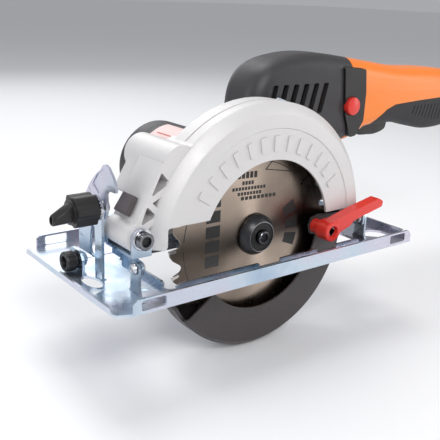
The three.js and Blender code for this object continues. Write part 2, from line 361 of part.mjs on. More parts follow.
// ================= gear housing, motor =================
add('gear_housing', (() => {
  const out = [[-12.5, -9.5], [-9, -13.2], [9, -13.2], [14, -9], [26, 2], ...arcPts(MOT_X, MOT_Z, 29.0, -35, 175, 18), [-27.6, 16], [-26.4, 4], [-18, -6]];
  let s = U(xz(out, 9.8, 31.6), cY(LAY_X, LAY_Z, 17.4, 9.8, 31.6, 32));
  s = U(s, cY(0, 0, NOSE_R, 5.4, 9.9, 32));
  // lower guard nose
  s = I(s, xz([[-60, -13.2], [60, -13.2], [60, 80], [-60, 80]], 0, 60));
  // cavity, open on the motor side
  const cav = [[-10.5, -8.0], [-7.6, -12.2], [7.6, -12.2], [12.4, -7.6], [23.6, 3.2], ...arcPts(MOT_X, MOT_Z, 26.6, -33, 172, 18), [-25.2, 16.5], [-24.4, 5.4], [-16.4, -4.6]];
  s = D(s, xz(cav, 10.8, 40), cY(LAY_X, LAY_Z, 15.3, 10.8, 40, 32));
  s = D(s, cY(0, 0, 11.3, 4, 9.2, 24), cY(0, 0, 9.6, 8, 12, 24));
  s = D(s, box(-60, 60, 31.59, 60, -60, 80));
  // bracket web for the depth clamp and the spindle lock boss
  s = U(s, D(cZ(-15, 22, 6.2, 38, 52.4, 20), cY(MOT_X, MOT_Z, 27.5, 10, 40, 40)));
  s = D(s, cZ(-15, 22, 2.7, 47.2, 60, 16));
  return s;
})(), 'cast');
add('gear_cover', (() => {
  const out = [[-12.5, -9.4], [-9, -11.6], [9, -11.6], [14, -8.6], [26, 2], ...arcPts(MOT_X, MOT_Z, 29.0, -35, 175, 18), [-27.6, 16], [-26.4, 4], [-18, -6]];
  let s = U(xz(out, 31.9, 36.1), cY(LAY_X, LAY_Z, 17.4, 31.9, 36.1, 32));
  return D(s, cY(MOT_X, MOT_Z, 9.3, 30, 40, 24), cY(LAY_X, LAY_Z, 7.7, 31, 35.6, 24), cY(0, 0, 4.2, 31, 33, 16));
})(), 'cast');
add('motor_housing', (() => {
  let s = lathe([[24, 36.5], [27.4, 36.5], [28.2, 38.2], [28.2, 44], [29.4, 47], [29.4, 96.0], [27.2, 96.0], [27.2, 47.6], [26.0, 45], [26.0, 38.3], [24, 38.3], [24, 36.5]], MOT_X, MOT_Z, 28);
  s = U(s, xz([[-17, 42], [19, 42], [19, 49.4], [-13, 49.4]], 36.6, 60));
  s = D(s, cY(MOT_X, MOT_Z, 27.6, 35.5, 63, 28));
  // cooling slots
    for (let i = 0; i < 5; i++) { const g = new THREE.BoxGeometry(10, 10, 2.6); g.translate(27.5, 0, 0); g.rotateY(-(155 + i * 12) * D2R); g.translate(MOT_X, 44, MOT_Z); s = D(s, M(g)); }
  return s;
})(), 'dark');
add('motor_end_cap', (() => {
  let s = lathe([[0, 112], [25.5, 112], [28.8, 109.6], [29.4, 107], [29.4, 96.4], [27.2, 96.4], [27.2, 106.4], [24.4, 109.4], [9, 109.4], [9, 104.4], [6.4, 104.4], [6.4, 109.4], [0, 109.4]], MOT_X, MOT_Z, 28);
  s = U(s, lathe([[25.9, 93.0], [26.8, 93.0], [26.8, 98], [27.4, 98.2], [27.4, 99], [25.9, 99], [25.9, 93.0]], MOT_X, MOT_Z, 28));
  for (let i = 0; i < 8; i++) { const g = new THREE.BoxGeometry(3.0, 8, 9); g.translate(0, 111, 18); g.rotateY(i * 45 * D2R); g.translate(MOT_X, 0, MOT_Z); s = D(s, M(g)); }
  return s;
})(), 'dark');
add('stator', (() => {
  const s = U(ring(MOT_X, MOT_Z, 17.0, 26.8, 54, 84, 28), ring(MOT_X, MOT_Z, 18.2, 22.6, 49.4, 88.6, 28));
  return D(s, box(MOT_X - 30, MOT_X + 30, 50, 90, MOT_Z + 23.4, MOT_Z + 30), box(MOT_X - 30, MOT_X + 30, 50, 90, MOT_Z - 30, MOT_Z - 23.4));
})(), 'laminate');
add('armature', (() => {
  let s = U(cY(MOT_X, MOT_Z, 3.0, 24.0, 108.6, 20), cY(MOT_X, MOT_Z, 16.2, 56, 82, 24), cY(MOT_X, MOT_Z, 12.5, 52, 86, 24));
  s = U(s, cY(MOT_X, MOT_Z, 10.2, 90, 100, 24), gear(MOT_X, MOT_Z, 12, 0.7, 24.4, 31.2, DIR_LM + 180 + 15, 2.9));
  return s;
})(), 'laminate');
add('cooling_fan', (() => {
  let s = U(ring(MOT_X, MOT_Z, 3.2, 7, 39.0, 48.6, 18), ring(MOT_X, MOT_Z, 6.5, 23.2, 39.0, 40.4, 24));
  for (let i = 0; i < 9; i++) { const g = new THREE.BoxGeometry(16.2, 7.2, 1.2); g.translate(14.8, 43.8, 0); g.rotateY(i * 40 * D2R); g.translate(MOT_X, 0, MOT_Z); s = U(s, M(g)); }
  return s;
})(), 'nylon');
add('bearing_motor_front', ring(MOT_X, MOT_Z, 3.3, 9.0, 32.2, 36.0, 20), 'steel');
add('bearing_motor_rear', ring(MOT_X, MOT_Z, 3.3, 6.1, 105, 109, 24), 'steel');
for (const [n, dz] of [['brush_holder_upper', 1], ['brush_holder_lower', -1]]) add(n, box(MOT_X - 4, MOT_X + 4, 91.4, 98.6, dz > 0 ? MOT_Z + 10.6 : MOT_Z - 25, dz > 0 ? MOT_Z + 25 : MOT_Z - 10.6), 'brass');
add('rating_label', D(I(ring(MOT_X, MOT_Z, 29.7, 30.1, 62, 90, 48), xz([[-40, 36], [-2, 20], [-2, 60], [-40, 60]], 40, 95)), box(-60, 60, 40, 95, 47.6, 60)), 'label');

// ================= spindle lock button =================
add('spindle_lock_button', U(cZ(-15, 22, 2.4, 50.4, 56.5, 16), cZ(-15, 22, 4.4, 55.8, 62.5, 24), cZ(-15, 22, 4.4, 62.4, 63.4, 24, 3.4)), 'black');

// ================= depth clamp =================
{
  const bx = PIV_X + ARC_R * Math.cos(ARC_A0 * D2R), bz = PIV_Z + ARC_R * Math.sin(ARC_A0 * D2R);
  add('depth_clamp_bolt', cY(bx, bz, 2.1, 7.6, 17.5, 16), 'steel');
  add('depth_lock_lever', D(U(cY(bx, bz, 6.4, 14.2, 21.4, 24), xz([[bx - 4.2, bz + 4], [bx + 5, bz + 4], [bx + 26, bz + 24], [bx + 24, bz + 28], [bx + 18, bz + 28]], 15, 20.6, 1, 2)), cY(bx, bz, 2.4, 13, 18.5, 16)), 'black');
  add('depth_clamp_washer', ring(bx, bz, 2.4, 5.0, 13.1, 14.0, 20), 'steel');
}
// ================= depth stop block on the arm =================
add('depth_stop_block', xz([[-88.6, 26.4], [-84.9, 24.0], [-80.3, 32.4], [-80.0, 33.4], [-82.6, 35.2]], -1.6, 9.0, 0.6, 1), 'rubber');

// ================= body over the gear housing, handle =================
const HY0 = 21, HY1 = 55;
const bodyOut = [[13, 50.5], [22, 44.5], [30, 39], [44, 39.5], [60, 44.5], [92, 42], [100, 41.5], [112, 46], [128, 48.6], [150, 49.4], [170, 45.4], [186, 42.2], [205, 42.6], [222, 46], [236, 50.5], [243, 57], [244, 68], [240, 78], [222, 84], [190, 87.5], [150, 89.5], [110, 95], [70, 100], [44, 99], [24, 93.5], [14, 82], [11, 66]];
const inset = (pts, d) => { // uniform inset of a counter-clockwise outline
  const n = pts.length, o = [];
  for (let i = 0; i < n; i++) {
    const a = pts[(i + n - 1) % n], b = pts[i], c = pts[(i + 1) % n];
    const e1 = [b[0] - a[0], b[1] - a[1]], e2 = [c[0] - b[0], c[1] - b[1]], l1 = Math.hypot(...e1), l2 = Math.hypot(...e2);
    const n1 = [-e1[1] / l1, e1[0] / l1], n2 = [-e2[1] / l2, e2[0] / l2], m = [n1[0] + n2[0], n1[1] + n2[1]], k = 2 / (m[0] * m[0] + m[1] * m[1]);
    o.push([b[0] + m[0] * k * d, b[1] + m[1] * k * d]);
  }
  return o;
};
const bodyAll = xz(bodyOut, HY0, HY1, 7, 2);
const bodyIn = xz(inset(bodyOut, 3.2), HY0 + 3.2, HY1 - 3.2, 3.8, 1);
const SPLIT_X = 96;                              // front vent housing ahead of this, handle shells behind
const motorClear = cY(MOT_X, MOT_Z, MOT_R + 1.2, 10, 120, 32);
const ventBox = (x0, x1) => box(x0, x1, 0, 100, 0, 140);
const panelZone = xz([[86, 92], [90, 60], [96, 44.5], [102, 45.2], [109, 55], [109.2, 74], [107, 90]], HY0 - 6, HY0 + 3.7);
add('vent_housing', (() => {
  let s = I(bodyAll, ventBox(-40, SPLIT_X - 0.2));
  s = D(s, I(bodyIn, ventBox(-40, SPLIT_X + 5)), motorClear);
  // louvres on both sides
  for (const y of [HY0 - 3, HY1 - 4]) for (let i = 0; i < 6; i++)
    s = D(s, xz([[22 + i * 8.6, 63], [26.4 + i * 8.6, 63], [31.4 + i * 8.6, 82], [27.0 + i * 8.6, 82]], y, y + 7));
  s = D(s, box(0, 19.8, 36, 61, 40, 49.9));      // sits over the pad on the motor housing
  return D(s, panelZone);                        // the switch panel covers the seam on the near side
})(), 'dark');
const handleCore = I(bodyAll, ventBox(SPLIT_X + 0.2, 260));
const handleIn = I(bodyIn, ventBox(SPLIT_X - 5, 238));
const gripZone = xz([[108, 30], [112, 51], [120, 51.5], [134, 61], [143, 64], [170, 65.5], [214, 67], [224, 60], [232, 60], [232, 30]], 0, 100);
const trigSlot = xz([[112, 30], [150, 30], [150, 58], [112, 58]], HANDLE_Y - 7, HANDLE_Y + 7);
const cordHole = (() => { const g = new THREE.CylinderGeometry(5.4, 5.4, 40, 28); g.rotateZ(Math.PI / 2); g.translate(240, HANDLE_Y, 64); return M(g); })();
function shell(side) {
  let s = D(handleCore, handleIn);
  s = I(s, side < 0 ? box(0, 300, 0, HANDLE_Y - 0.15, 0, 140) : box(0, 300, HANDLE_Y + 0.15, 100, 0, 140));
  s = D(s, trigSlot, cordHole);
  // recess for the soft grip, 1.1 mm deep
  const deep = D(gripZone, xz(inset(bodyOut, 1.8), HY0 + 1.8, HY1 - 1.8, 5.2, 2));
  s = D(s, deep);
  if (side < 0) s = D(s, panelZone);
  // screw posts
  for (const [x, z] of [[113, 84], [226, 74]]) {
    const p = side < 0 ? cY(x, z, 3.4, HY0 + 2.6, HANDLE_Y - 0.15, 16) : cY(x, z, 3.4, HANDLE_Y + 0.15, HY1 - 2.6, 16);
    s = U(s, p);
    s = D(s, side < 0 ? cY(x, z, 1.4, HY0 + 4, HANDLE_Y + 1, 14) : U(cY(x, z, 1.7, HANDLE_Y - 1, HY1 + 1, 14), cY(x, z, 3.0, HY1 - 4.2, HY1 + 1, 18)));
  }
  return s;
}
add('handle_shell_near', shell(-1), 'orange');
add('handle_shell_far', shell(1), 'orange');
for (const [n, side] of [['grip_near', -1], ['grip_far', 1]]) {
  let s = I(handleCore, gripZone);
  s = D(s, xz(inset(bodyOut, 0.9), HY0 + 0.9, HY1 - 0.9, 6.1, 2));
  s = I(s, side < 0 ? box(0, 300, 0, HANDLE_Y - 0.15, 0, 140) : box(0, 300, HANDLE_Y + 0.15, 100, 0, 140));
  s = D(s, xz([[111, 30], [151, 30], [151, 59], [111, 59]], HANDLE_Y - 8, HANDLE_Y + 8));
  add(n, s, 'grip');
}
for (const [n, x, z] of [['handle_screw_front', 113, 84], ['handle_screw_rear', 226, 74]])
  add(n, U(cY(x, z, 1.1, HANDLE_Y - 8, HY1 - 4, 12), cY(x, z, 2.7, HY1 - 4.0, HY1 - 2.3, 16)), 'steel');
add('switch_panel', (() => {
  let s = xz(inset([[86, 92], [90, 60], [96, 44.5], [102, 45.2], [109, 55], [109.2, 74], [107, 90]], 0.3), HY0 - 1.6, HY0 + 2.2, 1.2, 2);
  return D(s, cY(95.5, 66, 6.3, HY0 - 4, HY0 + 6, 28));
})(), 'black');
add('lock_off_button', U(cY(95.5, 66, 5.9, HY0 - 4.4, HY0 - 0.2, 28), cY(95.5, 66, 3.2, HY0 - 0.4, HY0 + 9, 20)), 'red');
add('trigger', (() => {
  let s = xz([[114, 56], [114, 47], [119, 42.5], [136, 41.5], [147, 44], [148.6, 50], [148, 56]], HANDLE_Y - 6.4, HANDLE_Y + 6.4, 1, 2);
  return s;
})(), 'black');
add('switch_module', U(box(118, 150, HANDLE_Y - 12.8, HANDLE_Y + 12.8, 62.5, 79)), 'black');
add('cord_gland', (() => {
  let s = lathe([[3.6, 0], [5.0, 0], [5.0, 12], [7.6, 13], [7.6, 17], [6.6, 18], [5.6, 40], [3.6, 40], [3.6, 0]], 0, 0, 18);
  return s;
})(), 'rubber');
const gl = root.children[root.children.length - 1];
gl.geometry.rotateZ(-Math.PI / 2);
gl.geometry.translate(233.5, HANDLE_Y, 64);

export default root;
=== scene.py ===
import bpy, bmesh, math, json
from mathutils import Vector, Matrix


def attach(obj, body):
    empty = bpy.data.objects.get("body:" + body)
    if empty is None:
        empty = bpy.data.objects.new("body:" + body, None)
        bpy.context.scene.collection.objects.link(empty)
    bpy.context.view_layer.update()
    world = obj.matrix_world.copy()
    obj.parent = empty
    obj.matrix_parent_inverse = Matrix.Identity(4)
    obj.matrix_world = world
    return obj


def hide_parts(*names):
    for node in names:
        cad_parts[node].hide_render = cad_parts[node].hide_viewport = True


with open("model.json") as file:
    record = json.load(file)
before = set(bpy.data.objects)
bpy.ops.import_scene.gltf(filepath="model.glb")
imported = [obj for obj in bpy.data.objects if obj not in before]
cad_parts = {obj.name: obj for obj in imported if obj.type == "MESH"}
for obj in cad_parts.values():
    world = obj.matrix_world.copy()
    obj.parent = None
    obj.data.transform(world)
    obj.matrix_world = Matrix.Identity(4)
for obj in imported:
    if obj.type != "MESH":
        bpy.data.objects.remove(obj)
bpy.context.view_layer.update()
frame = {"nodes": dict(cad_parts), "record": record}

# ------------------------------------------------------------------ kit
# Pieces are modelled in millimetres on the arbor frame (origin on the arbor at the blade's middle),
# then moved into the row frame: metres, origin on the underside of the sole.
OFF = Vector((0.0, -55.0, 14.0))
D2R = math.pi / 180
TILT_Y, TILT_Z = -12.0, 0.5
PIV_X, PIV_Z = -83.2, 14.5
ARC_R, ARC_A0, ARC_SW = 122.0, -2.1, 30.0
QUAD_R, SLOT_R = 53.0, 37.0
STUD_Y = TILT_Y + SLOT_R * math.sqrt(0.5)
STUD_Z = TILT_Z + SLOT_R * math.sqrt(0.5)
MX, MZ, MR = 1.0, 20.0, 29.4
LX, LZ = -14.58, 10.573
SOLE_Z, SHEET = -14.0, 1.5
HY, HY0, HY1 = 38.0, 21.0, 55.0
scene = bpy.context.scene


def mesh(verts, faces):
    me = bpy.data.meshes.new("m")
    me.from_pydata([tuple(v) for v in verts], [], [tuple(f) for f in faces])
    me.update()
    bm = bmesh.new(); bm.from_mesh(me)
    bmesh.ops.remove_doubles(bm, verts=bm.verts, dist=1e-5)
    bmesh.ops.recalc_face_normals(bm, faces=bm.faces)
    if bm.calc_volume(signed=True) < 0:
        bmesh.ops.reverse_faces(bm, faces=bm.faces)
    bm.to_mesh(me); bm.free()
    return me


def prism(pts, lo, hi, place):
    n = len(pts)
    v = [place(p, lo) for p in pts] + [place(p, hi) for p in pts]
    f = [tuple(range(n)), tuple(range(2 * n - 1, n - 1, -1))]
    f += [(i, (i + 1) % n, n + (i + 1) % n, n + i) for i in range(n)]
    return mesh(v, f)


def xz(pts, y0, y1): return prism(pts, y0, y1, lambda p, t: (p[0], t, p[1]))
def yz(pts, x0, x1): return prism(pts, x0, x1, lambda p, t: (t, p[0], p[1]))
def xy(pts, z0, z1): return prism(pts, z0, z1, lambda p, t: (p[0], p[1], t))


def arc(cx, cz, r, a0, a1, n):
    return [(cx + r * math.cos((a0 + (a1 - a0) * i / n) * D2R), cz + r * math.sin((a0 + (a1 - a0) * i / n) * D2R)) for i in range(n + 1)]


def rounded(pts, r, n=5):
    """the same outline with every corner rounded to about r"""
    out, m = [], len(pts)
    rr = r if isinstance(r, (list, tuple)) else [r] * m
    for i in range(m):
        a, b, c = Vector(pts[i - 1]), Vector(pts[i]), Vector(pts[(i + 1) % m])
        d1, d2 = (a - b), (c - b)
        l1, l2 = d1.length, d2.length
        if rr[i] <= 0 or l1 < 1e-6 or l2 < 1e-6:
            out.append(tuple(b)); continue
        d1.normalize(); d2.normalize()
        cosA = max(-0.9999, min(0.9999, d1.dot(d2)))
        half = math.acos(cosA) / 2
        if half > 1.5: out.append(tuple(b)); continue
        t = min(rr[i] / math.tan(half), l1 * 0.48, l2 * 0.48)
        p0, p1 = b + d1 * t, b + d2 * t
        for k in range(n + 1):
            s = k / n
            q = (1 - s) ** 2 * p0 + 2 * s * (1 - s) * b + s * s * p1
            out.append((q.x, q.y))
    return out


def slot_pts(cx, cz, r, w, a0, a1, n):
    e0 = (cx + r * math.cos(a0 * D2R), cz + r * math.sin(a0 * D2R)); e1 = (cx + r * math.cos(a1 * D2R), cz + r * math.sin(a1 * D2R))
    return arc(cx, cz, r + w, a0, a1, n) + arc(e1[0], e1[1], w, a1, a1 + 180, 12)[1:-1] + arc(cx, cz, r - w, a1, a0, n) + arc(e0[0], e0[1], w, a0 + 180, a0 + 360, 12)[1:-1]


def lathe(prof, x, z, seg=128, axis="Y", a0=0.0):
    """closed profile [(r, t)] turned about an axis"""
    n, v, f = len(prof), [], []
    for i in range(seg):
        a = a0 + 2 * math.pi * i / seg
        for r, t in prof:
            c, s = r * math.cos(a), r * math.sin(a)
            v.append((x + c, t, z + s) if axis == "Y" else ((t, x + c, z + s) if axis == "X" else (x + c, z + s, t)))
    for i in range(seg):
        j = (i + 1) % seg
        for k in range(n):
            l = (k + 1) % n
            if prof[k][0] < 1e-9 and prof[l][0] < 1e-9: continue
            f.append((i * n + k, i * n + l, j * n + l, j * n + k))
    me = bpy.data.meshes.new("m"); me.from_pydata(v, [], f); me.update()
    bm = bmesh.new(); bm.from_mesh(me)
    bmesh.ops.remove_doubles(bm, verts=bm.verts, dist=1e-5)
    bmesh.ops.dissolve_degenerate(bm, edges=bm.edges, dist=1e-6)
    bmesh.ops.recalc_face_normals(bm, faces=bm.faces)
    if bm.calc_volume(signed=True) < 0: bmesh.ops.reverse_faces(bm, faces=bm.faces)
    bm.to_mesh(me); bm.free()
    return me


def cyl(axis, a, b, r, p, q, seg=64, r2=None, ch=0.0):
    r2 = r if r2 is None else r2
    if ch > 0:
        prof = [(0, p), (r - ch, p), (r, p + ch), (r2, q - ch), (r2 - ch, q), (0, q)]
    else:
        prof = [(0, p), (r, p), (r2, q), (0, q)]
    return lathe(prof, a, b, seg, axis)


def cY(x, z, r, y0, y1, seg=64, r2=None, ch=0.0): return cyl("Y", x, z, r, y0, y1, seg, r2, ch)
def cX(y, z, r, x0, x1, seg=48, r2=None, ch=0.0): return cyl("X", y, z, r, x0, x1, seg, r2, ch)
def cZ(x, y, r, z0, z1, seg=48, r2=None, ch=0.0): return cyl("Z", x, y, r, z0, z1, seg, r2, ch)
def box(x0, x1, y0, y1, z0, z1): return xy([(x0, y0), (x1, y0), (x1, y1), (x0, y1)], z0, z1)


def rbox(x0, x1, y0, y1, z0, z1, r, axis="Z"):
    if axis == "Z": return xy(rounded([(x0, y0), (x1, y0), (x1, y1), (x0, y1)], r), z0, z1)
    if axis == "Y": return xz(rounded([(x0, z0), (x1, z0), (x1, z1), (x0, z1)], r), y0, y1)
    return yz(rounded([(y0, z0), (y1, z0), (y1, z1), (y0, z1)], r), x0, x1)


def moved(me, mat):
    me = me.copy(); me.transform(mat); return me


def turned(me, axis, deg, c=(0, 0, 0)):
    c = Vector(c)
    return moved(me, Matrix.Translation(c) @ Matrix.Rotation(deg * D2R, 4, axis) @ Matrix.Translation(-c))


def _bool(a, bs, op):
    oa = bpy.data.objects.new("ba", a); scene.collection.objects.link(oa)
    obs = []
    for b in bs:
        ob = bpy.data.objects.new("bb", b); scene.collection.objects.link(ob); obs.append(ob)
        m = oa.modifiers.new("b", "BOOLEAN"); m.operation = op; m.object = ob
        try: m.solver = "MANIFOLD"
        except Exception: m.solver = "EXACT"
    dg = bpy.context.evaluated_depsgraph_get()
    r = bpy.data.meshes.new_from_object(oa.evaluated_get(dg))
    bad = len(r.polygons) == 0
    if bad:
        for m in oa.modifiers: m.solver = "EXACT"
        dg = bpy.context.evaluated_depsgraph_get(); dg.update()
        r = bpy.data.meshes.new_from_object(oa.evaluated_get(dg))
    for o in [oa] + obs: bpy.data.objects.remove(o)
    return r


def U(a, *b): return _bool(a, b, "UNION")
def D(a, *b): return _bool(a, b, "DIFFERENCE")
def I(a, *b): return _bool(a, b, "INTERSECT")


def join(*ms):
    bm = bmesh.new()
    for m in ms: bm.from_mesh(m)
    me = bpy.data.meshes.new("m"); bm.to_mesh(me); bm.free(); return me


def hexpts(cx, cz, af, rot=0): return [(cx + af / math.sqrt(3) * math.cos((60 * i + rot) * D2R), cz + af / math.sqrt(3) * math.sin((60 * i + rot) * D2R)) for i in range(6)]


MATS = {}


def piece(name, me, body, mat, nodes=(), bevel=0.35, seg=2, angle=32, smooth=40):
    me.transform(Matrix.Translation(OFF)); me.transform(Matrix.Scale(0.001, 4))
    bm = bmesh.new(); bm.from_mesh(me)
    bmesh.ops.remove_doubles(bm, verts=bm.verts, dist=2e-6)
    bmesh.ops.dissolve_limit(bm, angle_limit=0.4 * D2R, verts=bm.verts, edges=bm.edges)
    bm.to_mesh(me); bm.free()
    me.polygons.foreach_set("use_smooth", [True] * len(me.polygons))
    me.set_sharp_from_angle(angle=smooth * D2R)
    me.materials.clear(); me.materials.append(MATS[mat]); me.name = name
    o = bpy.data.objects.new(name, me); scene.collection.objects.link(o)
    if bevel > 0:
        b = o.modifiers.new("bevel", "BEVEL"); b.width = bevel * 0.001; b.segments = seg; b.limit_method = "ANGLE"; b.angle_limit = angle * D2R
        b.harden_normals = True; b.use_clamp_overlap = True; b.miter_outer = "MITER_ARC"
    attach(o, body)
    if nodes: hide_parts(*nodes)
    return o


# ------------------------------------------------------------------ materials
def new_mat(name, color, rough, metal=0.0, coat=0.0, noise=0.0, nscale=600.0, bump=0.0, bscale=1500.0, rvar=0.0, spec=0.5, tint=None, tscale=40.0, brushed=None, detail=4.0):
    m = bpy.data.materials.new(name); m.use_nodes = True
    nt = m.node_tree; p = nt.nodes["Principled BSDF"]
    p.inputs["Base Color"].default_value = (*color, 1)
    p.inputs["Roughness"].default_value = rough
    p.inputs["Metallic"].default_value = metal
    p.inputs["Coat Weight"].default_value = coat
    p.inputs["Coat Roughness"].default_value = 0.15
    p.inputs["Specular IOR Level"].default_value = spec
    tc = nt.nodes.new("ShaderNodeTexCoord")
    last = None
    if noise > 0 or tint:
        n1 = nt.nodes.new("ShaderNodeTexNoise"); n1.inputs["Scale"].default_value = tscale if tint else nscale; n1.inputs["Detail"].default_value = detail
        nt.links.new(tc.outputs["Object"], n1.inputs["Vector"])
        cr = nt.nodes.new("ShaderNodeValToRGB")
        if tint:
            els = cr.color_ramp.elements
            els[0].position = 0.30; els[0].color = (*tint[0], 1)
            els[1].position = 0.70; els[1].color = (*tint[-1], 1)
            for i, t in enumerate(tint[1:-1]):
                e = els.new(0.30 + 0.40 * (i + 1) / (len(tint) - 1)); e.color = (*t, 1)
        else:
            lo = tuple(max(0, c * (1 - noise)) for c in color); hi = tuple(min(1, c * (1 + noise)) for c in color)
            cr.color_ramp.elements[0].position = 0.35; cr.color_ramp.elements[0].color = (*lo, 1)
            cr.color_ramp.elements[1].position = 0.65; cr.color_ramp.elements[1].color = (*hi, 1)
        nt.links.new(n1.outputs["Fac"], cr.inputs["Fac"])
        nt.links.new(cr.outputs["Color"], p.inputs["Base Color"])
    if rvar > 0:
        n3 = nt.nodes.new("ShaderNodeTexNoise"); n3.inputs["Scale"].default_value = 90.0; n3.inputs["Detail"].default_value = 5.0
        nt.links.new(tc.outputs["Object"], n3.inputs["Vector"])
        mr = nt.nodes.new("ShaderNodeMapRange"); mr.inputs["From Min"].default_value = 0.3; mr.inputs["From Max"].default_value = 0.7
        mr.inputs["To Min"].default_value = max(0.02, rough - rvar); mr.inputs["To Max"].default_value = min(1, rough + rvar)
        nt.links.new(n3.outputs["Fac"], mr.inputs["Value"]); nt.links.new(mr.outputs["Result"], p.inputs["Roughness"])
    if bump > 0:
        n2 = nt.nodes.new("ShaderNodeTexNoise"); n2.inputs["Scale"].default_value = bscale; n2.inputs["Detail"].default_value = 3.0
        if brushed:
            mp = nt.nodes.new("ShaderNodeMapping"); mp.inputs["Scale"].default_value = brushed
            nt.links.new(tc.outputs["Object"], mp.inputs["Vector"]); nt.links.new(mp.outputs["Vector"], n2.inputs["Vector"])
        else:
            nt.links.new(tc.outputs["Object"], n2.inputs["Vector"])
        bp = nt.nodes.new("ShaderNodeBump"); bp.inputs["Strength"].default_value = bump; bp.inputs["Distance"].default_value = 0.0004
        nt.links.new(n2.outputs["Fac"], bp.inputs["Height"]); nt.links.new(bp.outputs["Normal"], p.inputs["Normal"])
    MATS[name] = m
    return m


new_mat("cast", (0.66, 0.645, 0.64), 0.45, 0.25, noise=0.05, nscale=3200, bump=0.30, bscale=3000, rvar=0.05)
new_mat("zinc", (0.50, 0.58, 0.68), 0.30, 1.0, tint=[(0.34, 0.46, 0.60), (0.56, 0.65, 0.74), (0.62, 0.60, 0.70), (0.50, 0.66, 0.74)], tscale=16, bump=0.05, bscale=500, rvar=0.08)
mb = new_mat("blade", (0.37, 0.30, 0.245), 0.30, 1.0, noise=0.06, nscale=60, bump=0.05, bscale=220, brushed=(1, 1, 14), rvar=0.05)
pb_ = mb.node_tree.nodes["Principled BSDF"]
tg = mb.node_tree.nodes.new("ShaderNodeTangent"); tg.direction_type = "RADIAL"; tg.axis = "Y"
mb.node_tree.links.new(tg.outputs["Tangent"], pb_.inputs["Tangent"])
pb_.inputs["Anisotropic"].default_value = 0.6
# painted highlight: bright and dark sectors round the arbor, baked into the blade's base colour to stand in for the
# light on its turned face
_n = mb.node_tree.nodes; _l = mb.node_tree.links
_tc = _n.new("ShaderNodeTexCoord"); _sx = _n.new("ShaderNodeSeparateXYZ"); _l.new(_tc.outputs["Generated"], _sx.inputs[0])


def _math(op, a, b=None):
    m = _n.new("ShaderNodeMath"); m.operation = op
    for k, v in ((0, a), (1, b)):
        if v is None:
            continue
        if isinstance(v, (int, float)):
            m.inputs[k].default_value = v
        else:
            _l.new(v, m.inputs[k])
    return m.outputs[0]


_an = _math("ARCTAN2", _math("SUBTRACT", _sx.outputs["Z"], 0.5), _math("SUBTRACT", _sx.outputs["X"], 0.5))
_c2 = _math("COSINE", _math("MULTIPLY", _math("SUBTRACT", _an, math.radians(112)), 2.0))
_c4 = _math("COSINE", _math("MULTIPLY", _math("SUBTRACT", _an, math.radians(104)), 6.0))
_painted_highlight_fac = _math("ADD", _math("ADD", _math("MULTIPLY", _c2, 0.42), _math("MULTIPLY", _c4, 0.15)), 0.86)
# the base colour is scaled by the painted highlight factor
_vm = _n.new("ShaderNodeVectorMath"); _vm.operation = "SCALE"
_src = pb_.inputs["Base Color"].links[0].from_socket
_l.new(_src, _vm.inputs[0]); _l.new(_painted_highlight_fac, _vm.inputs["Scale"]); _l.new(_vm.outputs[0], pb_.inputs["Base Color"])
new_mat("tooth", (0.55, 0.53, 0.51), 0.3, 1.0, noise=0.1, nscale=900)
new_mat("ink", (0.018, 0.017, 0.017), 0.45, 0.0, noise=0.2, nscale=1500)
new_mat("black_steel", (0.035, 0.035, 0.038), 0.36, 0.4, noise=0.2, nscale=900, bump=0.08, bscale=2500, rvar=0.06)
new_mat("dark_chrome", (0.20, 0.205, 0.22), 0.2, 1.0, noise=0.1, nscale=600, bump=0.03, rvar=0.04)
new_mat("block", (0.075, 0.062, 0.066), 0.5, 0.0, noise=0.08, nscale=1500, bump=0.15, bscale=2600, rvar=0.05)
new_mat("steel", (0.62, 0.63, 0.65), 0.3, 1.0, noise=0.05, nscale=400, bump=0.04, bscale=1500, rvar=0.06)
new_mat("dark_plastic", (0.032, 0.030, 0.033), 0.48, 0.0, noise=0.10, nscale=1500, bump=0.22, bscale=3200, rvar=0.05)
new_mat("guard_grey", (0.050, 0.042, 0.043), 0.42, 0.0, noise=0.08, nscale=900, bump=0.10, bscale=2600, rvar=0.06)
new_mat("orange_plastic", (0.90, 0.215, 0.012), 0.34, 0.0, coat=0.15, noise=0.03, nscale=1200, bump=0.07, bscale=2800, rvar=0.04)
new_mat("soft_grip", (0.030, 0.029, 0.031), 0.75, 0.0, noise=0.15, nscale=1800, bump=0.30, bscale=2400)
new_mat("red_plastic", (0.72, 0.032, 0.022), 0.34, 0.0, coat=0.2, noise=0.03, nscale=900, bump=0.05, bscale=2600, rvar=0.04)
new_mat("black_plastic", (0.014, 0.012, 0.012), 0.42, 0.0, noise=0.15, nscale=1300, bump=0.14, bscale=2800, rvar=0.06)
new_mat("laminate", (0.30, 0.30, 0.31), 0.45, 0.9, noise=0.1, nscale=700, bump=0.1, bscale=900)
new_mat("copper", (0.60, 0.26, 0.12), 0.35, 1.0, noise=0.08, nscale=500, bump=0.15, bscale=900)
new_mat("brass", (0.60, 0.46, 0.18), 0.3, 1.0, noise=0.05, nscale=400)
new_mat("label", (0.72, 0.52, 0.50), 0.40, 0.0, noise=0.02, nscale=300)
new_mat("label_ink", (0.45, 0.07, 0.05), 0.5)
# pocket_shade: colour of the painted shade inside the guard arm's pockets
new_mat("pocket_shade", (0.17, 0.175, 0.14), 0.7, 0.0, noise=0.06, nscale=2500)
new_mat("rubber", (0.035, 0.034, 0.036), 0.8, 0.0, noise=0.12, nscale=1400, bump=0.25, bscale=2000)
new_mat("chrome", (0.62, 0.64, 0.68), 0.12, 1.0, noise=0.03, nscale=300, rvar=0.04)
new_mat("nylon", (0.78, 0.76, 0.70), 0.5, 0.0, noise=0.03, nscale=800, bump=0.05, bscale=1500)

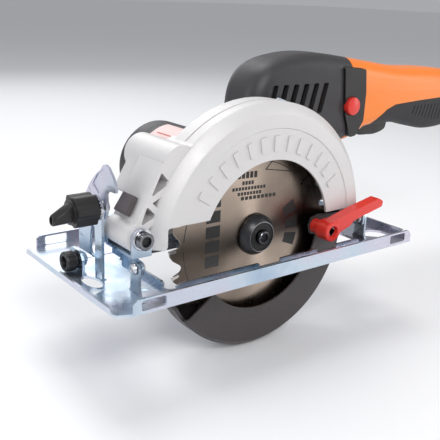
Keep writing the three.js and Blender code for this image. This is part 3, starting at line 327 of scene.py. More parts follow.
# ------------------------------------------------------------------ upper guard
def build_upper_guard():
    prof = [(46.6, -12.9), (64.0, -12.9), (64.5, -13.5), (71.6, -13.5), (72.6, -13.2), (77.3, -8.6), (77.9, -8.0), (78.4, -7.2),
            (78.4, -0.7), (77.3, -0.6), (77.3, 0.5), (78.4, 0.6), (78.4, 9.5), (22.6, 9.5), (22.6, 7.3), (75.4, 7.3), (75.4, -7.6), (71.2, -11.4), (46.6, -11.4)]
    shell = lathe(prof, 0, 0, 240)
    keep = xz(rounded([(-100, 18.6), (-79.7, 18.6), (-79.7, 7.2), (-69.6, 7.2), (-69.6, 18.6), (-41.9, 18.6), (-30.7, 35.6), (0, 0), (46, 9.5), (100, 9.5), (100, 100), (-100, 100)],
                      [0, 0, 2.5, 2.5, 1.5, 1.2, 1.5, 0, 1.5, 0, 0, 0]), -15, 6)
    far = xz([(-100, 7.2), (-26, 7.2), (-24, -12.8), (24, -12.8), (30, 5), (52, 5), (56, 9.5), (100, 9.5), (100, 100), (-100, 100)], 5.99, 11)
    s = I(shell, U(keep, far))
    armOut = rounded([(-87.8, 16), (-86.5, 20), (-69.6, 51.6)], 0) + arc(-58.5, 48.8, 10.8, 168, 62, 16) + [(-49, 60.0), (-60, 42), (-66, 34), (-70, 26), (-72.5, 14)]
    arm = xz(armOut, -8, 14.2)
    arm = D(arm, cY(0, 0, 76.2, -20, 30, 160))
    arm = U(arm, cY(PIV_X, PIV_Z, 7.9, -8.4, 14.4, 64))
    arm = U(arm, xz([(PIV_X, PIV_Z - 7.9), (-74.0, 6.8), (-74.6, 22), (PIV_X, PIV_Z + 7.8)], -8, 14.2))
    arm = D(arm, box(-80, -60, -9, 15, 0, 7.2))
    arm = U(arm, cY(-58.5, 48.8, 10.8, -8, 31, 80))
    arm = U(arm, xz([(-69.2, 49), (-78.5, 33), (-76, 30), (-60, 38)], -8, 26))
    pk = [rounded([(-70.4, 46.9), (-65.2, 41.0), (-76.5, 34.7)], 0.7), rounded([(-75.7, 31.7), (-71.8, 27.8), (-68.9, 35.0)], 0.6),
          rounded([(-78.7, 30.2), (-73.0, 24.6), (-82.4, 20.8)], 0.7), rounded([(-74.0, 20.4), (-78.2, 18.8), (-74.8, 14.4)], 0.5)]
    arm = D(arm, *[xz(p, -9, 6) for p in pk])
    arm = D(arm, xz([(-82, 22), (-70.5, 43.5), (-62.5, 40.5), (-66.8, 34), (-71.4, 24)], 8, 40))
    s = U(s, arm)
    s = D(s, cY(PIV_X, PIV_Z, 3.2, -16, 20), cY(-58.5, 48.8, 6.4, 12, 40))
    bx, bz = PIV_X + ARC_R * math.cos(ARC_A0 * D2R), PIV_Z + ARC_R * math.sin(ARC_A0 * D2R)
    s = D(s, cY(bx, bz, 2.4, 5, 12, 32))
    # plain raised blocks round the face
    blocks = []
    for i in range(13):
        a = 146 - i * 9.6
        w = (4.1, 3.2, 4.6)[i % 3]
        p = [(r * math.cos((a + k * w / 2) * D2R), r * math.sin((a + k * w / 2) * D2R)) for r, k in ((51.6, -1), (60.4, -1), (60.4, 1), (51.6, 1))]
        blocks.append(xz(rounded(p, 0.7), -13.8, -12.5))
    s = U(s, *blocks)
    # cast boss pads on the far face
    s = U(s, cY(52, 34, 4.2, 7.4, 10.4, 32), cY(-30, 58, 4.2, 7.4, 10.4, 32), cY(20, 62, 4.2, 7.4, 10.4, 32))
    return s


piece("upper_guard_body", build_upper_guard(), "head", "cast", ["upper_guard"], bevel=0.55, seg=3, angle=30)
# thin dark sheets at the backs of the arm's pockets: painted shade, not a surface of the casting
piece("upper_guard_pocket_shade_sheets", join(*[xz(p, 5.7, 6.05) for p in ([(-70.6, 46.2), (-66.0, 41.0), (-76.0, 35.2)], [(-75.2, 31.6), (-71.9, 28.3), (-69.3, 34.4)],
                                                               [(-78.4, 29.6), (-73.7, 24.6), (-81.9, 21.2)], [(-74.2, 20.0), (-77.8, 18.7), (-75.0, 15.2)])]),
      "head", "pocket_shade", (), bevel=0)

# ------------------------------------------------------------------ lower guard and lever
def build_lower_guard():
    prof = [(43.5, -8), (64.6, -8), (67.0, -5.6), (67.0, 6.0), (66.2, 7.0), (22.2, 7.0), (22.2, 5.8), (65.4, 5.8), (65.4, -5.6), (63.9, -6.8), (43.5, -6.8)]
    shell = lathe(prof, 0, 0, 240)
    near = xz(rounded([(-60, -46), (-36, -29.2), (-20, -16), (0, 8), (30, 8), (80, 4), (90, -90), (-60, -90)], [0, 1.2, 0, 0, 0, 0, 0, 0]), -9, -4)
    far = xz([(-63.5, -36.4), (-20, -11), (-24, 0), (0, 24), (24, 10), (80, 4), (90, -90), (-63.5, -90)], -4.01, 9)
    s = I(shell, U(near, far))
    s = U(s, D(cY(0, 0, 26, 5.8, 7.0, 96), cY(0, 0, 22.2, 5, 8, 128)))
    s = U(s, xz(rounded([(38.5, -4.6), (46, -6), (46, 7.4), (38.5, 5.6), (36.6, 0.5)], 1.2), -8, -6.8))
    s = D(s, cY(41.5, 0.5, 1.6, -9, -6, 32))
    s = U(s, xz(rounded([(-58.6, -32.5), (-53.6, -40.2), (-52.0, -39.2), (-57.0, -31.5)], 0.5), -4, 5.9))
    return s


piece("lower_guard_shell", build_lower_guard(), "lower_guard", "guard_grey", ["lower_guard"], bevel=0.35)


def build_lever():
    hub = lathe([(1.7, -8.3), (4.4, -8.3), (4.4, -14.6), (5.9, -14.7), (6.2, -15.0), (6.2, -23.2), (5.7, -23.9), (4.9, -24.0), (3.7, -24.0), (3.6, -23.7), (3.6, -20.2), (1.7, -20.2)], 41.5, 0.5, 72)
    pts = rounded([(38.9, 5.9), (45, 7.0), (60, 10.8), (82.4, 15.2), (86.1, 12.9), (85.4, 9.6), (70, 6.4), (60.5, 4.2), (57.0, 1.2), (51.0, -0.4), (46, -3.2)], [0, 4, 8, 1.6, 1.2, 1.6, 4, 1.6, 1.6, 3, 0])
    arm = xz(pts, -22.6, -15.6)
    arm = D(arm, cY(41.5, 0.5, 5.2, -26, -10, 64))
    s = U(hub, arm)
    # thumb notch under the arm next to the hub
    s = D(s, xz(rounded([(48.8, -4.4), (58.5, -0.5), (55.0, 3.6), (48.4, 2.2)], 1.2), -20.9, -17.2))
    return s


piece("guard_lever_body", build_lever(), "lower_guard", "red_plastic", ["guard_lever"], bevel=0.7, seg=3)
scw = U(cY(41.5, 0.5, 1.35, -20.4, -6.9, 24), cY(41.5, 0.5, 2.8, -22.4, -20.35, 40, ch=0.4))
scw = D(scw, box(40.95, 42.05, -23, -21.2, -1.7, 2.7), box(39.3, 43.7, -23, -21.2, -0.05, 1.05))
piece("lever_screw_body", scw, "lower_guard", "steel", ["lever_screw"], bevel=0.12)

# ------------------------------------------------------------------ blade
def build_blade():
    pts = []
    for i in range(24):
        b = i * 15.0
        for a, r in ((0, 60.0), (1.3, 59.7), (3.4, 59.3), (6.0, 57.6), (8.0, 55.4), (9.6, 53.6), (11.2, 52.7), (12.6, 52.8), (13.6, 53.6), (14.25, 54.9), (14.45, 56.4)):
            pts.append(((r) * math.cos((b + a) * D2R), (r) * math.sin((b + a) * D2R)))
    s = xz(pts, -0.6, 0.6)
    s = D(s, cY(0, 0, 7.5, -2, 2, 96))
    cuts = []
    for i in range(4):
        a = (37 + 90 * i) * D2R; ca, sa = math.cos(a), math.sin(a); n = (-sa * 0.4, ca * 0.4)
        cuts += [xz([(44 * ca - n[0], 44 * sa - n[1]), (62 * ca - n[0], 62 * sa - n[1]), (62 * ca + n[0], 62 * sa + n[1]), (44 * ca + n[0], 44 * sa + n[1])], -2, 2), cY(44 * ca, 44 * sa, 1.5, -2, 2, 24)]
    return D(s, *cuts)


piece("blade_plate", build_blade(), "spindle", "blade", ["blade"], bevel=0.08, seg=1, angle=50)
tips = []
for i in range(24):
    b = i * 15.0 * D2R
    u, w = Vector((math.cos(b), math.sin(b))), Vector((-math.sin(b), math.cos(b)))
    p = [u * 59.95 - w * 0.1, u * 59.75 + w * 1.5, u * 55.6 + w * 1.2, u * 55.7 - w * 0.3]
    tips.append(xz([tuple(q) for q in p], -0.85, 0.85))
piece("blade_tips", join(*tips), "spindle", "tooth", (), bevel=0.06, seg=1)


def arc_bar(r0, r1, a0, a1, y0, y1):
    n = max(2, int(abs(a1 - a0) / 3))
    return xz(arc(0, 0, r1, a0, a1, n) + arc(0, 0, r0, a1, a0, n), y0, y1)


ink = []
Y0i, Y1i = -0.66, -0.55
ink += [arc_bar(50.6, 51.1, a, a + 84, Y0i, Y1i) for a in (2, 92, 182, 272)]
# plain bars and blocks where a blade carries its print
for k, (x, z, w, h, n) in enumerate(((-7.5, 36.2, 15, 3.8, 5), (-7.0, 31.6, 9, 2.2, 4), (-6.0, 28.4, 25, 1.9, 11), (-5.5, 25.4, 18, 1.9, 8), (1.5, 22.6, 27, 2.1, 9))):
    for j in range(n):
        a0, a1 = x - w / 2 + w * j / n, x - w / 2 + w * (j + 0.74) / n
        ink.append(xz([(a0, z - h / 2 - 0.03 * a0), (a1, z - h / 2 - 0.03 * a1), (a1, z + h / 2 - 0.03 * a1), (a0, z + h / 2 - 0.03 * a0)], Y0i, Y1i))
for z0, z1 in ((20.5, 27.0), (11.8, 18.6), (3.0, 9.8), (-5.8, 1.0), (-14.6, -7.8)):
    ink.append(xz([(-36.0, z0), (-26.2, z0), (-26.2, z1), (-36.0, z1)], Y0i, Y1i))
for a in (-22, -2, 17):
    ink.append(arc_bar(24, 33.5, a, a + 14, Y0i, Y1i))
ink.append(arc_bar(43.2, 43.7, 52, 84, Y0i, Y1i))
ink.append(xz([(5.0, 38.0), (26.0, 34.4), (26.1, 35.0), (6.4, 38.3), (10.6, 42.6), (10.2, 43.0)], Y0i, Y1i))
ink.append(arc_bar(26, 28, 236, 296, Y0i, Y1i))
piece("blade_print", join(*ink), "spindle", "ink", (), bevel=0)

inner = D(U(cY(0, 0, 12.4, 0.9, 3.2, 96, ch=0.3), cY(0, 0, 7.2, -0.55, 1, 64), cY(0, 0, 8.6, 3.1, 4.6, 64)), cY(0, 0, 4.3, -2, 6, 48))
piece("inner_flange_body", inner, "spindle", "black_steel", ["inner_flange"], bevel=0.2)
outer = lathe([(3.4, -0.9), (12.1, -0.9), (12.4, -1.2), (12.4, -2.3), (12.2, -2.8), (9.5, -6.4), (9.2, -6.8), (8.8, -7.0), (8.4, -6.9), (8.3, -6.4), (4.6, -6.4), (4.6, -5.4), (3.4, -5.4)], 0, 0, 112)
outer = D(outer, *[turned(xz(rounded([(-0.9, 5.6), (0.9, 5.6), (0.5, 7.8), (-0.5, 7.8)], 0.3), -6.8, -6.1), "Y", 90 * k) for k in range(4)])
piece("outer_flange_body", outer, "spindle", "black_steel", ["outer_flange"], bevel=0.2)
bolt = lathe([(0, -9.8), (3.4, -9.8), (3.9, -9.3), (3.9, -5.7), (3.0, -5.7), (3.0, 8), (0, 8)], 0, 0, 64)
bolt = D(bolt, xz(hexpts(0, 0, 4.4, 12), -12, -7.8))
piece("blade_bolt_body", bolt, "spindle", "dark_chrome", ["blade_bolt"], bevel=0.2)
# black hex sheet at the bottom of the bolt's socket: painted shade inside the hole
piece("blade_bolt_socket_shade", xz(hexpts(0, 0, 4.3, 12), -8.2, -7.75), "spindle", "ink", (), bevel=0)
piece("outer_flange_floor", lathe([(4.7, -6.44), (8.2, -6.44), (8.2, -6.3), (4.7, -6.3)], 0, 0, 96), "spindle", "ink", (), bevel=0)
# thin bright steel ring on the flange's lip: a painted highlight along its edge
piece("outer_flange_highlight_ring", lathe([(8.75, -7.03), (9.0, -7.03), (9.0, -6.9), (8.75, -6.9)], 0, 0, 112), "spindle", "steel", (), bevel=0)

# ------------------------------------------------------------------ sole
def build_sole():
    zt = SOLE_Z + SHEET
    X0, X1, Y0, Y1 = -110.0, 108.0, -33.2, 77.0
    outline = rounded([(X0, Y0 + 3), (X0 + 8, Y0), (X1 - 8, Y0), (X1, Y0 + 8), (X1, Y1 - 8), (X1 - 8, Y1), (X0 + 8, Y1), (X0, Y1 - 6)], [3, 5, 6, 6, 6, 6, 6, 6], 8)
    s = xy(outline, SOLE_Z, zt)
    parts = []
    parts.append(xz(rounded([(-102, SOLE_Z), (104, SOLE_Z), (104, SOLE_Z + 5.2), (101.5, SOLE_Z + 8), (-99, SOLE_Z + 8), (-102, SOLE_Z + 6)], [0, 0, 2, 2.5, 2, 2]), Y0, Y0 + SHEET))
    parts.append(xz(rounded([(-102, SOLE_Z), (104, SOLE_Z), (104, SOLE_Z + 6), (101, SOLE_Z + 8), (-99, SOLE_Z + 8), (-102, SOLE_Z + 6)], [0, 0, 2, 2.5, 2, 2]), Y1 - SHEET, Y1))
    parts.append(yz(rounded([(Y0 + 6, SOLE_Z), (Y1 - 4, SOLE_Z), (Y1 - 6, SOLE_Z + 3.2), (Y0 + 8, SOLE_Z + 3.2)], [0, 0, 1.5, 1.5]), X0, X0 + SHEET))
    parts.append(yz(rounded([(Y0 + 6, SOLE_Z), (Y1 - 4, SOLE_Z), (Y1 - 7, SOLE_Z + 5), (Y0 + 9, SOLE_Z + 5)], [0, 0, 2, 2]), X1 - SHEET, X1))
    # lip along the near side of the blade opening, stepped down in the middle
    parts.append(xz(rounded([(-68, SOLE_Z), (70, SOLE_Z), (70, SOLE_Z + 3.4), (66, SOLE_Z + 4.2), (49.5, SOLE_Z + 4.2), (49.5, zt + 0.4), (33.5, zt + 0.4), (33.5, SOLE_Z + 4.2), (4, SOLE_Z + 4.2), (4, zt + 0.4), (-12, zt + 0.4), (-12, SOLE_Z + 4.2), (-62, SOLE_Z + 4.2), (-68, SOLE_Z + 3.0)],
                            [0, 0, 1, 3, 0.8, 0.8, 0.8, 0.8, 0.8, 0.8, 0.8, 0.8, 3, 1]), -19.9, -18.4))
    s = U(s, *parts)
    s = D(s, xy(rounded([(-72, -18.4), (74, -18.4), (74, 34.5), (-72, 34.5)], 4, 8), SOLE_Z - 1, zt + 0.01))
    s = U(s, yz(rounded([(-14.4, SOLE_Z), (8, SOLE_Z), (8, SOLE_Z + 4), (6.6, SOLE_Z + 5), (-12.6, SOLE_Z + 5), (-14.4, SOLE_Z + 4)], [0, 0, 1, 1, 1.5, 1]), -73.5, -72))
    cuts = []
    for y in (Y0 - 1, Y1 - SHEET - 1):
        cuts.append(rbox(-97, -83, y, y + SHEET + 2, SOLE_Z + 1.7, SOLE_Z + 7.0, 1.2, "Y"))
        cuts.append(rbox(84, 98, y, y + SHEET + 2, SOLE_Z + 1.7, SOLE_Z + 7.0, 1.2, "Y"))
    cuts.append(rbox(-24, 26, Y1 - SHEET - 1, Y1 + 1, zt, SOLE_Z + 12, 2.0, "Y"))
    cuts.append(xy([(-99.6 + 4.4 * math.cos(a * D2R), 12 + 9 * math.sin(a * D2R)) for a in range(0, 360, 6)], SOLE_Z - 1, zt + 1))
    cuts.append(xy(rounded([(84, -14), (92, -22), (101, -22), (101, -12), (96, -6), (84, -6)], 1.2), SOLE_Z - 1, zt + 1))
    cuts.append(cZ(90, 55, 7, SOLE_Z - 1, zt + 1, 64))
    cuts.append(xy([(-106, -3.2), (-98, 0), (-106, 3.2)], SOLE_Z - 1, zt + 1))
    # pressed beads: shallow grooves along the rail and the broad land
    for (x0, x1, y, w) in ((-96, 98, -25.6, 0.7), (-96, 98, -22.9, 0.7), (-96, 98, 44.0, 1.0), (-60, 60, 64, 1.2)):
        cuts.append(rbox(x0, x1, y - w / 2, y + w / 2, zt - 0.35, zt + 1, w / 2 - 0.01))
    for (x, y) in ((-84, -12), (-84, -26)):
        cuts.append(xy([(x - 5, y - 4), (x + 5, y), (x - 5, y + 4)], zt - 0.35, zt + 1))
    s = D(s, *cuts)
    def tab(x0, x1):
        return yz(rounded([(TILT_Y - 6, SOLE_Z), (TILT_Y + 6, SOLE_Z), (TILT_Y + 4, SOLE_Z + 4)], 0)[:3] + arc(TILT_Y, TILT_Z, 4, 0, 180, 20) + [(TILT_Y - 4, SOLE_Z + 4)], x0, x1)
    s = U(s, tab(-88.4, -86.9), tab(78.4, 79.9))
    s = D(s, cX(TILT_Y, TILT_Z, 1.8, -90, -85, 24), cX(TILT_Y, TILT_Z, 1.8, 77, 81, 24))
    up = rbox(-94.6, -91.6, STUD_Y - 3.75, STUD_Y + 3.75, SOLE_Z, zt + 0.6, 0.8)
    s = U(s, up)
    up = yz([(STUD_Y - 3.75, SOLE_Z), (STUD_Y + 3.75, SOLE_Z)] + arc(STUD_Y, STUD_Z, 3.75, 0, 180, 20), -94.6, -93.1)
    s = U(s, up)
    s = D(s, cX(STUD_Y, STUD_Z, 2.4, -97, -92, 32))
    cb = yz(rounded([(23, SOLE_Z), (39, SOLE_Z), (39, -5), (36, 0), (26, 0), (23, -5)], [0, 0, 2, 3, 3, 2]), -99.5, -98.0)
    s = U(s, cb, rbox(70, 76, 36, 37.5, SOLE_Z, SOLE_Z + 6, 0.6, "Y"))
    s = D(s, cX(31, -6.5, 2.4, -101, -97, 32))
    return s


piece("sole_plate", build_sole(), "base", "zinc", ["base_plate"], bevel=0.4, seg=3, angle=28)
for n, b in (("front_tilt_rivet", "base"), ("rear_tilt_rivet", "base")):
    x0, x1 = ((-88.7, -84.7) if n[0] == "f" else (76.2, 80.2))
    r = lathe([(0, x0 - 1.4), (1.8, x0 - 1.4), (2.6, x0 - 1.1), (3.1, x0 - 0.2), (3.1, x0), (1.5, x0), (1.5, x1), (3.1, x1), (3.1, x1 + 0.4), (2.3, x1 + 1.3), (0, x1 + 1.3)], TILT_Y, TILT_Z, 40, "X")
    piece(n + "_body", r, "base", "steel", [n], bevel=0.1)

# fence clamp
fc = lathe([(0, -104.2), (3.0, -104.2), (3.3, -106.2), (4.7, -106.6), (5.3, -106.2), (5.5, -105.6), (5.5, -101.4), (5.2, -100.8), (4.5, -100.6), (4.5, -99.9), (2.1, -99.9), (2.1, -93.2), (0, -93.2)], 31, -6.5, 72, "X")
fc = D(fc, yz(hexpts(31, -6.5, 5), -107, -103.2))
kn = [turned(box(-105.9, -101.0, 31 - 0.2, 31 + 0.2, -6.5 + 5.25, -6.5 + 6.2), "X", i * 15, (0, 31, -6.5)) for i in range(24)]
fc = D(fc, *kn)
piece("fence_clamp_screw_body", fc, "fence_clamp", "black_plastic", ["fence_clamp_screw"], bevel=0.15)
piece("fence_clamp_nut_body", D(yz(hexpts(31, -6.5, 7), -97.6, -94.1), cX(31, -6.5, 2.4, -98, -93)), "base", "zinc", ["fence_clamp_nut"], bevel=0.25)

# ------------------------------------------------------------------ front bracket
def build_pivot_bracket():
    def ear(y0, y1): return xz(rounded([(PIV_X - 5.6, 5.0), (PIV_X + 5.6, 5.0)], 0)[:2] + arc(PIV_X, PIV_Z, 5.6, 0, 180, 24), y0, y1)
    s = U(ear(-10.8, -8.8), ear(14.8, 16.8), box(PIV_X - 5.6, PIV_X + 5.6, -10.8, 16.8, 5.0, 6.5))
    s = U(s, box(-86.6, -85.1, -10.8, 14, TILT_Z, 5.5), yz(rounded([(-16.0, -3.6), (4, -3.6), (4, 4.4), (-16.0, 4.4)], [3, 1, 0, 3]), -86.6, -85.1))
    s = D(s, cX(TILT_Y, TILT_Z, 1.8, -88, -84, 24), cY(PIV_X, PIV_Z, 3.2, -12, 20, 48))
    return s


piece("pivot_bracket_body", build_pivot_bracket(), "tilt_frame", "zinc", ["pivot_bracket"], bevel=0.35, seg=3)


def build_quadrant():
    pts = rounded([(14.9, -4), (40.6, -4)], 0)[:2] + arc(TILT_Y, TILT_Z, QUAD_R, 2, 58, 40) + [(12.6, 48.9), (10.4, 49.6), (7.2, 48.6), (2.8, 44.4), (-0.6, 39.2), (0.4, 37.0), (7.6, 36.6), (9.6, 34.6), (9.6, 24), (11.4, 20.8), (14.9, 20.2)]
    s = yz(pts, -92.2, -90.7)
    s = U(s, box(-92.2, -88.6, 17.1, 18.6, 6, 12), box(-88.7, PIV_X + 5.6, 17.1, 18.6, 6, 20.1), box(-92.2, -90.7, 14.95, 18.6, 6, 12))
    s = D(s, cY(PIV_X, PIV_Z, 3.2, 16, 20, 32), yz(slot_pts(TILT_Y, TILT_Z, SLOT_R, 3.1, -1, 46, 30), -93, -88))
    # degree marks pressed into the front face
    marks = []
    for i in range(10):
        a = (5 + i * 5) * D2R; l = 4.2 if i % 3 == 0 else 2.4
        u = Vector((math.cos(a), math.sin(a))); w = Vector((-u.y, u.x)) * 0.22; c = Vector((TILT_Y, TILT_Z))
        p = [c + u * (51.6 - l) - w, c + u * 51.6 - w, c + u * 51.6 + w, c + u * (51.6 - l) + w]
        marks.append(yz([tuple(q) for q in p], -92.5, -91.95))
    s = D(s, *marks)
    rim = [(12.6, 46.6), (10.2, 47.4), (8.2, 46.6), (4.6, 43.0), (2.2, 39.6), (3.2, 38.9), (9.0, 38.8), (12.2, 36.6), (17.5, 32.6), (24.0, 37.0), (18.6, 43.2)]
    return D(s, yz(rounded(rim, 0.6), -92.5, -91.75))


piece("bevel_quadrant_body", build_quadrant(), "tilt_frame", "zinc", ["bevel_quadrant"], bevel=0.3, seg=2)
pb = lathe([(0, -13.2), (2.5, -13.2), (2.8, -15.0), (4.1, -15.2), (4.6, -14.7), (4.6, -12.2), (2.8, -12.2), (2.8, 22.0), (2.4, 22.4), (0, 22.4)], PIV_X, PIV_Z, 56)
pb = D(pb, xz(hexpts(PIV_X, PIV_Z, 4.6, 8), -16, -12.9))
piece("pivot_bolt_body", pb, "tilt_frame", "dark_chrome", ["pivot_bolt"], bevel=0.15)
# black hex sheet at the bottom of the pivot bolt's socket: painted shade inside the hole
piece("pivot_bolt_socket_shade", xz(hexpts(PIV_X, PIV_Z, 4.5, 8), -13.1, -12.95), "tilt_frame", "black_plastic", (), bevel=0)
piece("pivot_washer_body", lathe([(3.1, -11.9), (5.3, -11.9), (5.6, -11.6), (5.6, -11.0), (3.1, -11.0)], PIV_X, PIV_Z, 56), "tilt_frame", "chrome", ["pivot_washer"], bevel=0.1)
piece("pivot_nut_body", D(xz(hexpts(PIV_X, PIV_Z, 10), 18.9, 22.6), cY(PIV_X, PIV_Z, 3.1, 18, 24)), "tilt_frame", "zinc", ["pivot_nut"], bevel=0.35)
st = U(cX(STUD_Y, STUD_Z, 2.1, -100, -89.4, 32), cX(STUD_Y, STUD_Z, 3.2, -90.4, -89.2, 40))
piece("bevel_stud_body", st, "bevel_clamp", "steel", ["bevel_stud"], bevel=0.2)
ws = D(cX(STUD_Y, STUD_Z, 6.8, -96.4, -94.9, 72), cX(STUD_Y, STUD_Z, 2.4, -97, -94, 32), *[turned(box(-96.9, -95.9, STUD_Y - 0.28, STUD_Y + 0.28, STUD_Z + 3.6, STUD_Z + 7.2), "X", i * 15, (0, STUD_Y, STUD_Z)) for i in range(24)])
piece("bevel_washer_body", ws, "base", "chrome", ["bevel_washer"], bevel=0.08)


def build_knob():
    def lobes(rb, am): return [(STUD_Y + (rb + am * math.cos(6 * a)) * math.cos(a), STUD_Z + (rb + am * math.cos(6 * a)) * math.sin(a)) for a in [i * 4 * D2R for i in range(90)]]
    s = U(yz(lobes(8.0, 0.75), -109.4, -97.4), cX(STUD_Y, STUD_Z, 6.2, -98, -96.7, 64))
    s = U(s, cX(STUD_Y, STUD_Z, 6.4, -110.4, -109.2, 64))
    w = lathe([(0, -120.3), (2.2, -120.3), (2.9, -119.7), (5.4, -109.8), (5.4, -109.0), (0, -109.0)], 0, 0, 64, "X")
    w = I(w, yz(rounded([(-3.6, -7), (3.6, -7), (3.6, 7), (-3.6, 7)], 1.5), -133, -108))
    for v in w.vertices: v.co.z -= 0.3 * (-109.5 - v.co.x)
    w.transform(Matrix.Translation((0, STUD_Y, STUD_Z)))
    s = U(s, w)
    s = D(s, yz(rounded([(STUD_Y - 1.4, STUD_Z - 4.9), (STUD_Y + 1.4, STUD_Z - 4.9), (STUD_Y + 1.4, STUD_Z - 1.0), (STUD_Y - 1.4, STUD_Z - 1.0)], 0.8), -134, -113.5))
    s = D(s, cX(STUD_Y, STUD_Z, 2.4, -101, -96, 32))
    return s


piece("bevel_knob_body", build_knob(), "bevel_clamp", "black_plastic", ["bevel_knob"], bevel=0.6, seg=3, angle=35)
blk = xz(rounded([(-88.6, 26.4), (-84.9, 24.0), (-80.3, 32.4), (-80.0, 33.4), (-82.6, 35.2)], [0.8, 0.8, 0, 0.5, 0.8]), -1.6, 9.0)
piece("depth_stop_block_body", blk, "head", "block", ["depth_stop_block"], bevel=0.6, seg=3)


def build_depth_arc():
    a0, a1 = ARC_A0, ARC_A0 + ARC_SW
    s = xz(arc(PIV_X, PIV_Z, ARC_R + 5, a0 - 7, a1 + 2.2, 40) + arc(PIV_X, PIV_Z, ARC_R - 5, a1 + 2.2, a0 - 7, 40), 11.2, 12.9)
    s = U(I(s, cY(0, 0, 79.8, 10, 14, 160)), I(s, box(0, 80, 10, 14, -20, 40)))
    s = U(s, box(32, 78.0, 11.2, 12.9, -4.2, 4.8), yz(rounded([(-16, -4.2), (12.9, -4.2), (12.9, 4.8), (-16, 4.8)], [3, 0, 0, 3]), 76.5, 78.0))
    return D(s, xz(slot_pts(PIV_X, PIV_Z, ARC_R, 2.7, a0, a1, 40), 10, 14), cX(TILT_Y, TILT_Z, 1.8, 75, 79, 24))


piece("depth_arc_body", build_depth_arc(), "tilt_frame", "zinc", ["depth_arc"], bevel=0.3)

# ------------------------------------------------------------------ gear housing, motor
def housing_outline(r, n): return [(-12.5, -9.5), (-9, -13.2), (9, -13.2), (14, -9), (26, 2)] + arc(MX, MZ, r, -35, 175, n) + [(-27.6, 16), (-26.4, 4), (-18, -6)]


gh = U(xz(housing_outline(29.0, 60), 9.8, 31.6), cY(LX, LZ, 17.4, 9.8, 31.6, 96), cY(0, 0, 22.1, 5.4, 9.9, 128))
cav = [(-10.5, -8.0), (-7.6, -12.2), (7.6, -12.2), (12.4, -7.6), (23.6, 3.2)] + arc(MX, MZ, 26.6, -33, 172, 50) + [(-25.2, 16.5), (-24.4, 5.4), (-16.4, -4.6)]
gh = D(gh, xz(cav, 10.8, 40), cY(LX, LZ, 15.3, 10.8, 40, 96), cY(0, 0, 11.3, 4, 9.2, 64), cY(0, 0, 9.6, 8, 12, 64))
gh = U(gh, D(cZ(-15, 22, 6.2, 38, 52.4, 64), cY(MX, MZ, 27.5, 10, 40, 96)))
gh = U(gh, *[D(cY(MX + 31 * math.cos(a * D2R), MZ + 31 * math.sin(a * D2R), 3.6, 18, 31.6, 32), cY(MX, MZ, 27.2, 10, 40, 96)) for a in (20, 100, 152)])
gh = D(gh, cZ(-15, 22, 2.7, 47.2, 60, 32))
piece("gear_housing_body", gh, "head", "cast", ["gear_housing"], bevel=0.5, seg=3, angle=35)
gc = U(xz([(-12.5, -9.4), (-9, -11.6), (9, -11.6), (14, -8.6), (26, 2)] + arc(MX, MZ, 29.0, -35, 175, 60) + [(-27.6, 16), (-26.4, 4), (-18, -6)], 31.9, 36.1), cY(LX, LZ, 17.4, 31.9, 36.1, 96))
gc = D(gc, cY(MX, MZ, 9.3, 30, 40, 64), cY(LX, LZ, 7.7, 31, 35.6, 64), cY(0, 0, 4.2, 31, 33, 32))
piece("gear_cover_body", gc, "head", "cast", ["gear_cover"], bevel=0.5, seg=3, angle=35)


def build_motor_housing():
    s = lathe([(24, 36.5), (26.8, 36.5), (27.6, 36.9), (28.2, 38.2), (28.2, 44), (28.5, 45.4), (29.4, 47), (29.4, 69.4), (28.9, 69.6), (28.9, 70.2), (29.4, 70.4), (29.4, 96.0), (27.2, 96.0), (27.2, 47.6), (26.0, 45), (26.0, 38.3), (24, 38.3)], MX, MZ, 160)
    s = U(s, xz(rounded([(-17, 42), (19, 42), (19, 49.4), (-13, 49.4)], [0, 0, 2, 3]), 36.6, 60))
    s = D(s, cY(MX, MZ, 27.6, 35.5, 63, 128))
    cuts = []
    for i in range(5):
        g = rbox(22.5, 32.5, 39.4, 48.6, -1.3, 1.3, 1.0, "X")
        g = turned(g, "Y", -(155 + i * 12)); g.transform(Matrix.Translation((MX, 0, MZ))); cuts.append(g)
    return D(s, *cuts)


piece("motor_housing_body", build_motor_housing(), "head", "dark_plastic", ["motor_housing"], bevel=0.35, angle=35)


def build_end_cap():
    s = lathe([(0, 112), (23.5, 112), (26.2, 111.4), (28.2, 110.0), (29.2, 108.2), (29.4, 106.5), (29.4, 96.4), (27.2, 96.4), (27.2, 106.4), (24.4, 109.4), (9, 109.4), (9, 104.4), (6.4, 104.4), (6.4, 109.4), (0, 109.4)], MX, MZ, 160)
    s = U(s, lathe([(25.9, 93.0), (26.8, 93.0), (26.8, 98), (27.4, 98.2), (27.4, 99), (25.9, 99)], MX, MZ, 128))
    cuts = []
    for i in range(24):
        g = rbox(-1.0, 1.0, 107, 115, 12.5, 22.5, 0.9, "Y"); g = turned(g, "Y", i * 15); g.transform(Matrix.Translation((MX, 0, MZ))); cuts.append(g)
    return D(s, *cuts)


piece("motor_end_cap_body", build_end_cap(), "head", "dark_plastic", ["motor_end_cap"], bevel=0.35, angle=35)
lab = I(lathe([(29.7, 62), (30.0, 62), (30.0, 90), (29.7, 90)], MX, MZ, 200), xz([(-40, 36), (-2, 20), (-2, 60), (-40, 60)], 40, 95))
piece("rating_label_body", lab, "head", "label", ["rating_label"], bevel=0)
piece("rating_label_edge", I(lathe([(29.95, 62), (30.06, 62), (30.06, 64), (29.95, 64)], MX, MZ, 200), xz([(-40, 36), (-2, 20), (-2, 60), (-40, 60)], 40, 95)), "head", "label_ink", (), bevel=0)
li = []
for k in range(5):
    a0 = 118 + k * 6.2
    w = (20, 12, 17, 9, 15)[k]
    li.append(I(lathe([(30.05, 65), (30.14, 65), (30.14, 65 + w), (30.05, 65 + w)], MX, MZ, 200), xz([(MX, MZ)] + arc(MX, MZ, 36, a0, a0 + 1.6, 4), 40, 95)))
piece("rating_label_lines", join(*li), "head", "label_ink", (), bevel=0)

